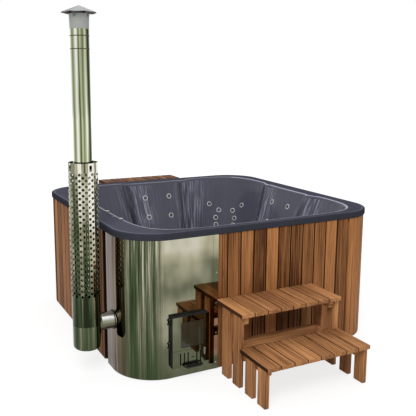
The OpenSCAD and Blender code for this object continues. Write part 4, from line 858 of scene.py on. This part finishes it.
def window_edges(bm, front_y, window):
    """The four short edges at the corners of the window, which run through the front sheet."""
    x0, x1, z0, z1 = window
    found = []
    for e in bm.edges:
        a, b = e.verts[0].co, e.verts[1].co
        on_x = abs(a.x - b.x) < 1e-5 and min(abs(a.x - x0), abs(a.x - x1)) < 0.001
        on_z = abs(a.z - b.z) < 1e-5 and min(abs(a.z - z0), abs(a.z - z1)) < 0.001
        if on_x and on_z and max(a.y, b.y) < front_y + 0.010:
            found.append(e)
    return found


def shadow_edged(node, name, window=None):
    bm = clean_copy(node)
    front_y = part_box(node)[0][1]
    if window:
        bmesh.ops.bevel(bm, geom=window_edges(bm, front_y, window), offset=WINDOW_R, segments=6,
                        profile=0.5, affect="EDGES", clamp_overlap=True)
    soften(bm, 0.0008, 1.2)
    obj = add_mesh(name, bm, DOOR_STEEL, body_of_node(node), (node,), smooth=False)
    # Every face but the front sheet is black, as painted shadow in the gaps round it.
    second_material(obj.data, BLACK_STEEL,
                    lambda poly: abs(poly.normal.y) < 0.7 or poly.center.y > front_y + FACE_T)


def find_window():
    lo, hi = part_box("door_glass")
    return lo[0] + GLASS_LAP, hi[0] - GLASS_LAP, lo[2] + GLASS_LAP, hi[2] - GLASS_LAP


shadow_edged("stove_door", "door_box", find_window())
shadow_edged("ash_drawer", "drawer_box")


def sweep(bm, path, wire, sides):
    """A round wire along points; the ring frames lean on the X axis."""
    turn = [2 * math.pi * k / sides for k in range(sides)]
    rings = []
    for i, p in enumerate(path):
        t = (path[min(i + 1, len(path) - 1)] - path[max(i - 1, 0)]).normalized()
        ref = Vector((1, 0, 0)) if abs(t.x) < 0.95 else Vector((0, 0, 1))
        n = (ref - t * ref.dot(t)).normalized()
        m = t.cross(n)
        rings.append([bm.verts.new(p + (n * math.cos(a) + m * math.sin(a)) * wire) for a in turn])
    net(bm, rings)
    bm.faces.new(rings[0][::-1])
    bm.faces.new(rings[-1])


WIRE_R, ROD_R, WIRE_SIDES = 0.0016, 0.0034, 10
WINDINGS, PER_WINDING = 20, 24


def wound_grip():
    """A coil of wire round the grip rod; its ends turn in to the rod."""
    lo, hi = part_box("coil_grip")
    mid_y, mid_z = (lo[1] + hi[1]) / 2, (lo[2] + hi[2]) / 2
    big = (hi[2] - lo[2]) / 2 - WIRE_R
    x0, x1 = lo[0] + WIRE_R, hi[0] - WIRE_R
    last = WINDINGS * PER_WINDING

    def at(i, r):
        a = 2 * math.pi * i / PER_WINDING
        return Vector((x0 + (x1 - x0) * i / last, mid_y + r * math.cos(a), mid_z + r * math.sin(a)))

    path = [at(0, ROD_R), at(0, big - 2 * WIRE_R), at(0, big - WIRE_R)]
    path += [at(i, big) for i in range(1, last)]
    path += [at(last, big - WIRE_R), at(last, big - 2 * WIRE_R), at(last, ROD_R)]
    bm = bmesh.new()
    sweep(bm, path, WIRE_R, WIRE_SIDES)
    add_mesh("wound_grip", bm, BLACK_STEEL, body_of_node("coil_grip"), ("coil_grip",))


wound_grip()


# Jets: rows on the two backrests and a fan of four pairs in the far corner, as bearings and heights.

ROWS = (0.862, 0.685)
FAN_AT, FAN = 49.0, ((9.1, 0.742), (3.8, 0.678), (5.3, 0.607), (4.9, 0.540))
JETS = [(a, z) for a in (84.4, 100.9, -5.9, 11.2) for z in ROWS]
JETS += [(FAN_AT + side * off, z) for off, z in FAN for side in (-1, 1)]
# Radius and depth of the edges of a jet, from the bottom of its nozzle over the flange to its back.
JET_PROFILE = [
    (0.0020, 0.0301), (0.0085, 0.0300), (0.0088, 0.0060), (0.0094, 0.0010), (0.0104, -0.0012),
    (0.0122, -0.0018), (0.0146, -0.0012), (0.0160, -0.0016), (0.0176, -0.0030), (0.0198, -0.0035),
    (0.0222, -0.0034), (0.0238, -0.0022), (0.0240, 0.0002), (0.0236, 0.0013), (0.0168, 0.0016),
    (0.0168, 0.058),
]
DARK_BANDS, JET_TURNS = 8, 40


def wall_point(a, z):
    return Vector((*spot(mouth(a) - wall_in(z), a), z))


def jet(bm, place):
    """One jet turned about the Z axis of its place, with a dark middle."""
    rows = []
    for r, z in JET_PROFILE:
        ring = []
        for j in range(JET_TURNS):
            a = 2 * math.pi * j / JET_TURNS
            ring.append(bm.verts.new(place @ Vector((r * math.cos(a), r * math.sin(a), z))))
        rows.append(ring)
    for band in net(bm, rows)[:DARK_BANDS]:
        for face in band:
            face.material_index = 1


def jet_set():
    """The jets, square to the leaning wall."""
    bm = bmesh.new()
    for a, z in JETS:
        p, q = wall_point(a - 2, z), wall_point(a + 2, z)
        facing = math.atan2(p.x - q.x, q.y - p.y)
        at = Matrix.Translation(wall_point(a, z))
        at = at @ Matrix.Rotation(facing, 4, "Z") @ Matrix.Rotation(math.radians(90 + 20), 4, "Y")
        jet(bm, at)
    obj = add_mesh("jet_set", bm, JET_RING, "tub", ("jets",), angle=0.8)
    obj.data.materials.append(DARK_PLASTIC)


jet_set()


# Rain cap roof, sizes in metres. A share of 1 is the roof's edge and 0 its tip.

FOLDS, PER_FOLD = 8, 6
ROOF_SHARES = (1.0, 0.985, 0.75, 0.5, 0.25, 0.04)
ROOF_RISE, SHEET_T, FOLD_DROP, FOLD_IN = 0.042, 0.0016, 0.0035, 0.012
STRAP_X, STRAP_Y, STRAP_TOP = (0.0632, 0.0648), (-0.008, 0.008), 0.016
BOX_FACES = ((0, 1, 3, 2), (4, 6, 7, 5), (0, 4, 5, 1), (2, 3, 7, 6), (0, 2, 6, 4), (1, 5, 7, 3))


def folded_roof():
    """Sheet roof of the rain cap, folded along eight ridges, with a dark brown underside and four
    straps.
    """
    lo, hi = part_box("cap_roof")
    mid = Vector(((lo[0] + hi[0]) / 2, (lo[1] + hi[1]) / 2, 0))
    big, top = (hi[0] - lo[0]) / 2, hi[2]
    roof_low = top - ROOF_RISE
    bm = bmesh.new()
    count = FOLDS * PER_FOLD

    def ring(share, thick):
        row = []
        for j in range(count):
            a = 2 * math.pi * j / count
            ridge = abs((j / PER_FOLD + 0.5) % 1 - 0.5) * 2
            sag = FOLD_DROP * ridge * min(share, 0.9)
            z = roof_low + (top - roof_low) * (1 - share) - thick - sag
            r = big * share * (1 - FOLD_IN * ridge)
            row.append(bm.verts.new((mid.x + r * math.cos(a), mid.y + r * math.sin(a), z)))
        return row

    rings = [ring(s, SHEET_T) for s in ROOF_SHARES[::-1]] + [ring(s, 0.0) for s in ROOF_SHARES]
    for band in net(bm, rings)[:len(ROOF_SHARES) - 1]:
        for face in band:
            face.material_index = 1
    tip = bm.verts.new((mid.x, mid.y, top))
    base = bm.verts.new((mid.x, mid.y, top - 0.004))
    for j in range(count):
        k = (j + 1) % count
        bm.faces.new((tip, rings[-1][j], rings[-1][k]))
        bm.faces.new((base, rings[0][k], rings[0][j]))
    for k in range(4):
        turn = Matrix.Rotation(math.radians(45 + 90 * k), 3, "Z")
        box = [bm.verts.new(turn @ Vector((x, y, z)) + mid)
               for x in STRAP_X for y in STRAP_Y for z in (lo[2], roof_low + STRAP_TOP)]
        for quad in BOX_FACES:
            bm.faces.new([box[i] for i in quad])
    obj = add_mesh("folded_roof", bm, ROOF_STEEL, body_of_node("cap_roof"), ("cap_roof",),
                   angle=0.05)
    obj.data.materials.append(DARK_BROWN_STEEL)


folded_roof()


# Materials of the nodes that keep their CAD shape.

paint(COVER_STEEL, "steel_cover")
paint(DARK_STEEL, "cover_trims")
paint(MATT_STEEL, "cap_collar")
paint(SATIN, "cover_screws", "glass_clips", "latch_lever", "shield_spacers", "lid_brackets",
      "lid_leaves", "hinge_pins", "suction_grille", "deck_knob_back", "deck_knob_front")
paint(STOVE_STEEL, "stove_stand", "stove_body", "stove_neck", "water_pipes")
paint(BLACK_STEEL, "grip_rod", "door_hinges", "air_slide")
paint(CAST_IRON, "fire_grate")
paint(GLASS, "door_glass")
paint(FLUE_STEEL, "flue_pipe")
paint(LOWER_STEEL, "chimney_lower")
paint(SOOT_STEEL, "soot_cap")
paint(PIPE_STEEL, "chimney_upper")
paint(SHIELD_STEEL, "heat_shield")
paint(SEAL, "flue_gasket")
paint(DARK_PLASTIC, "pump", "jet_hoses", "air_valves")
paint(PIPE_PLASTIC, "suction_pipe", "pressure_pipe", "jet_main", "drain_pipe")
paint(BRASS, "drain_valve")
paint(RED_PLASTIC, "drain_lever")

# The trims that lie on the front get the cover's painted reflections. The beads of the chimney are dark
# brown.
second_material(NODES["cover_trims"].data, COVER_STEEL, lambda poly: poly.center.y < -HALF + 0.001)
BEAD_R, CHIMNEY_X, CHIMNEY_Y = 0.0593, -1.217, -0.745
second_material(
    NODES["chimney_upper"].data, DARK_BROWN_STEEL,
    lambda poly: math.hypot(poly.center.x - CHIMNEY_X, poly.center.y - CHIMNEY_Y) > BEAD_R)


# Floor, backdrop, light and camera.

def seen_directly(g):
    """1 for what the eye meets, also by way of mirrors and glass, and 0 for light on surfaces."""
    path = g.node("ShaderNodeLightPath").outputs
    seen = g.math("MAXIMUM", path["Is Camera Ray"], path["Is Glossy Ray"])
    return g.math("MAXIMUM", seen, path["Is Transmission Ray"])


FLOOR_SIZE, FLOOR_DROP, FLOOR_GLOW = 30, 0.0005, 1.14
GLOW_NEAR, GLOW_GAIN = 0.68, 0.32  # share of the glow by the tub, and what it gains further out
GLOW_SLOPE, GLOW_OFFSET = 0.5, -0.9  # of the way out, by distance from the middle


def stage_floor():
    """A white floor that catches a soft shadow by the tub and fades to plain white around it."""
    bm = bmesh.new()
    bmesh.ops.create_grid(bm, x_segments=8, y_segments=8, size=FLOOR_SIZE)
    mesh = bpy.data.meshes.new("floor")
    bm.to_mesh(mesh)
    bm.free()
    floor = bpy.data.objects.new("floor", mesh)
    scene.collection.objects.link(floor)
    floor.location.z = -FLOOR_DROP
    g = Skin("floor_white")
    mottle = g.noise(g.coords(), 3.0, 3.0, 0.5)
    g.surface(base_color=g.mix(mottle, (0.80, 0.80, 0.80), (0.84, 0.84, 0.84)), roughness=0.8)
    glow = g.node("ShaderNodeEmission")
    glow.inputs["Strength"].default_value = FLOOR_GLOW
    reach = g.node("ShaderNodeVectorMath", operation="LENGTH")
    g.put(reach.inputs[0], g.coords())
    away = g.clamped(g.math("MULTIPLY_ADD", reach.outputs["Value"], GLOW_SLOPE, GLOW_OFFSET))
    share = g.math("MULTIPLY", seen_directly(g), g.math("MULTIPLY_ADD", away, GLOW_GAIN, GLOW_NEAR))
    g.put(g.out.inputs["Surface"], g.mix_shader(share, g.bsdf.outputs[0], glow.outputs[0]))
    mesh.materials.append(g.mat)


SKY_LIGHT, SKY_SEEN = 0.55, 1.0


def sky():
    """White to the eye and in mirrors, and softer as a light."""
    world = bpy.data.worlds.new("studio")
    scene.world = world
    world.use_nodes = True
    g = Graph(world.node_tree)
    g.tree.nodes.clear()
    whites = []
    for strength in (SKY_LIGHT, SKY_SEEN):
        white = g.node("ShaderNodeBackground")
        white.inputs["Color"].default_value = (1, 1, 1, 1)
        white.inputs["Strength"].default_value = strength
        whites.append(white.outputs[0])
    out = g.node("ShaderNodeOutputWorld")
    g.put(out.inputs["Surface"], g.mix_shader(seen_directly(g), *whites))


def lamp(name, at, aim, size, watts, mirrored):
    data = bpy.data.lights.new(name, "AREA")
    data.shape = "RECTANGLE"
    data.size, data.size_y = size
    data.energy = watts
    obj = bpy.data.objects.new(name, data)
    scene.collection.objects.link(obj)
    obj.location = at
    obj.rotation_mode = "QUATERNION"
    obj.rotation_quaternion = (Vector(aim) - Vector(at)).to_track_quat("-Z", "Y")
    obj.visible_glossy = mirrored


stage_floor()
sky()
lamp("key", (-3.5, -5.0, 5.5), (0, -0.3, 0.6), (3.0, 3.0), 330, mirrored=False)
lamp("fill", (5.5, -3.0, 3.5), (0, 0, 0.6), (3.0, 3.0), 50, mirrored=False)
lamp("top", (0.5, 1.5, 6.5), (0, 0, 0.6), (4.0, 4.0), 120, mirrored=True)

EYE = Vector((-2.3699, -4.5384, 1.9560))
RIGHT = Vector((0.8990, -0.4381, 0.0)).normalized()
AHEAD = Vector((0.4319, 0.8863, -0.1671)).normalized()
cam_data = bpy.data.cameras.new("camera")
camera = bpy.data.objects.new("camera", cam_data)
scene.collection.objects.link(camera)
view = Matrix((RIGHT, RIGHT.cross(AHEAD), -AHEAD)).transposed()
camera.matrix_world = Matrix.Translation(EYE) @ view.to_4x4()
cam_data.sensor_width = 36.0
cam_data.lens = 53.546
cam_data.shift_x = 0.0649
cam_data.shift_y = -0.0505
cam_data.clip_end = 100
scene.camera = camera
scene.view_settings.view_transform = "Standard"
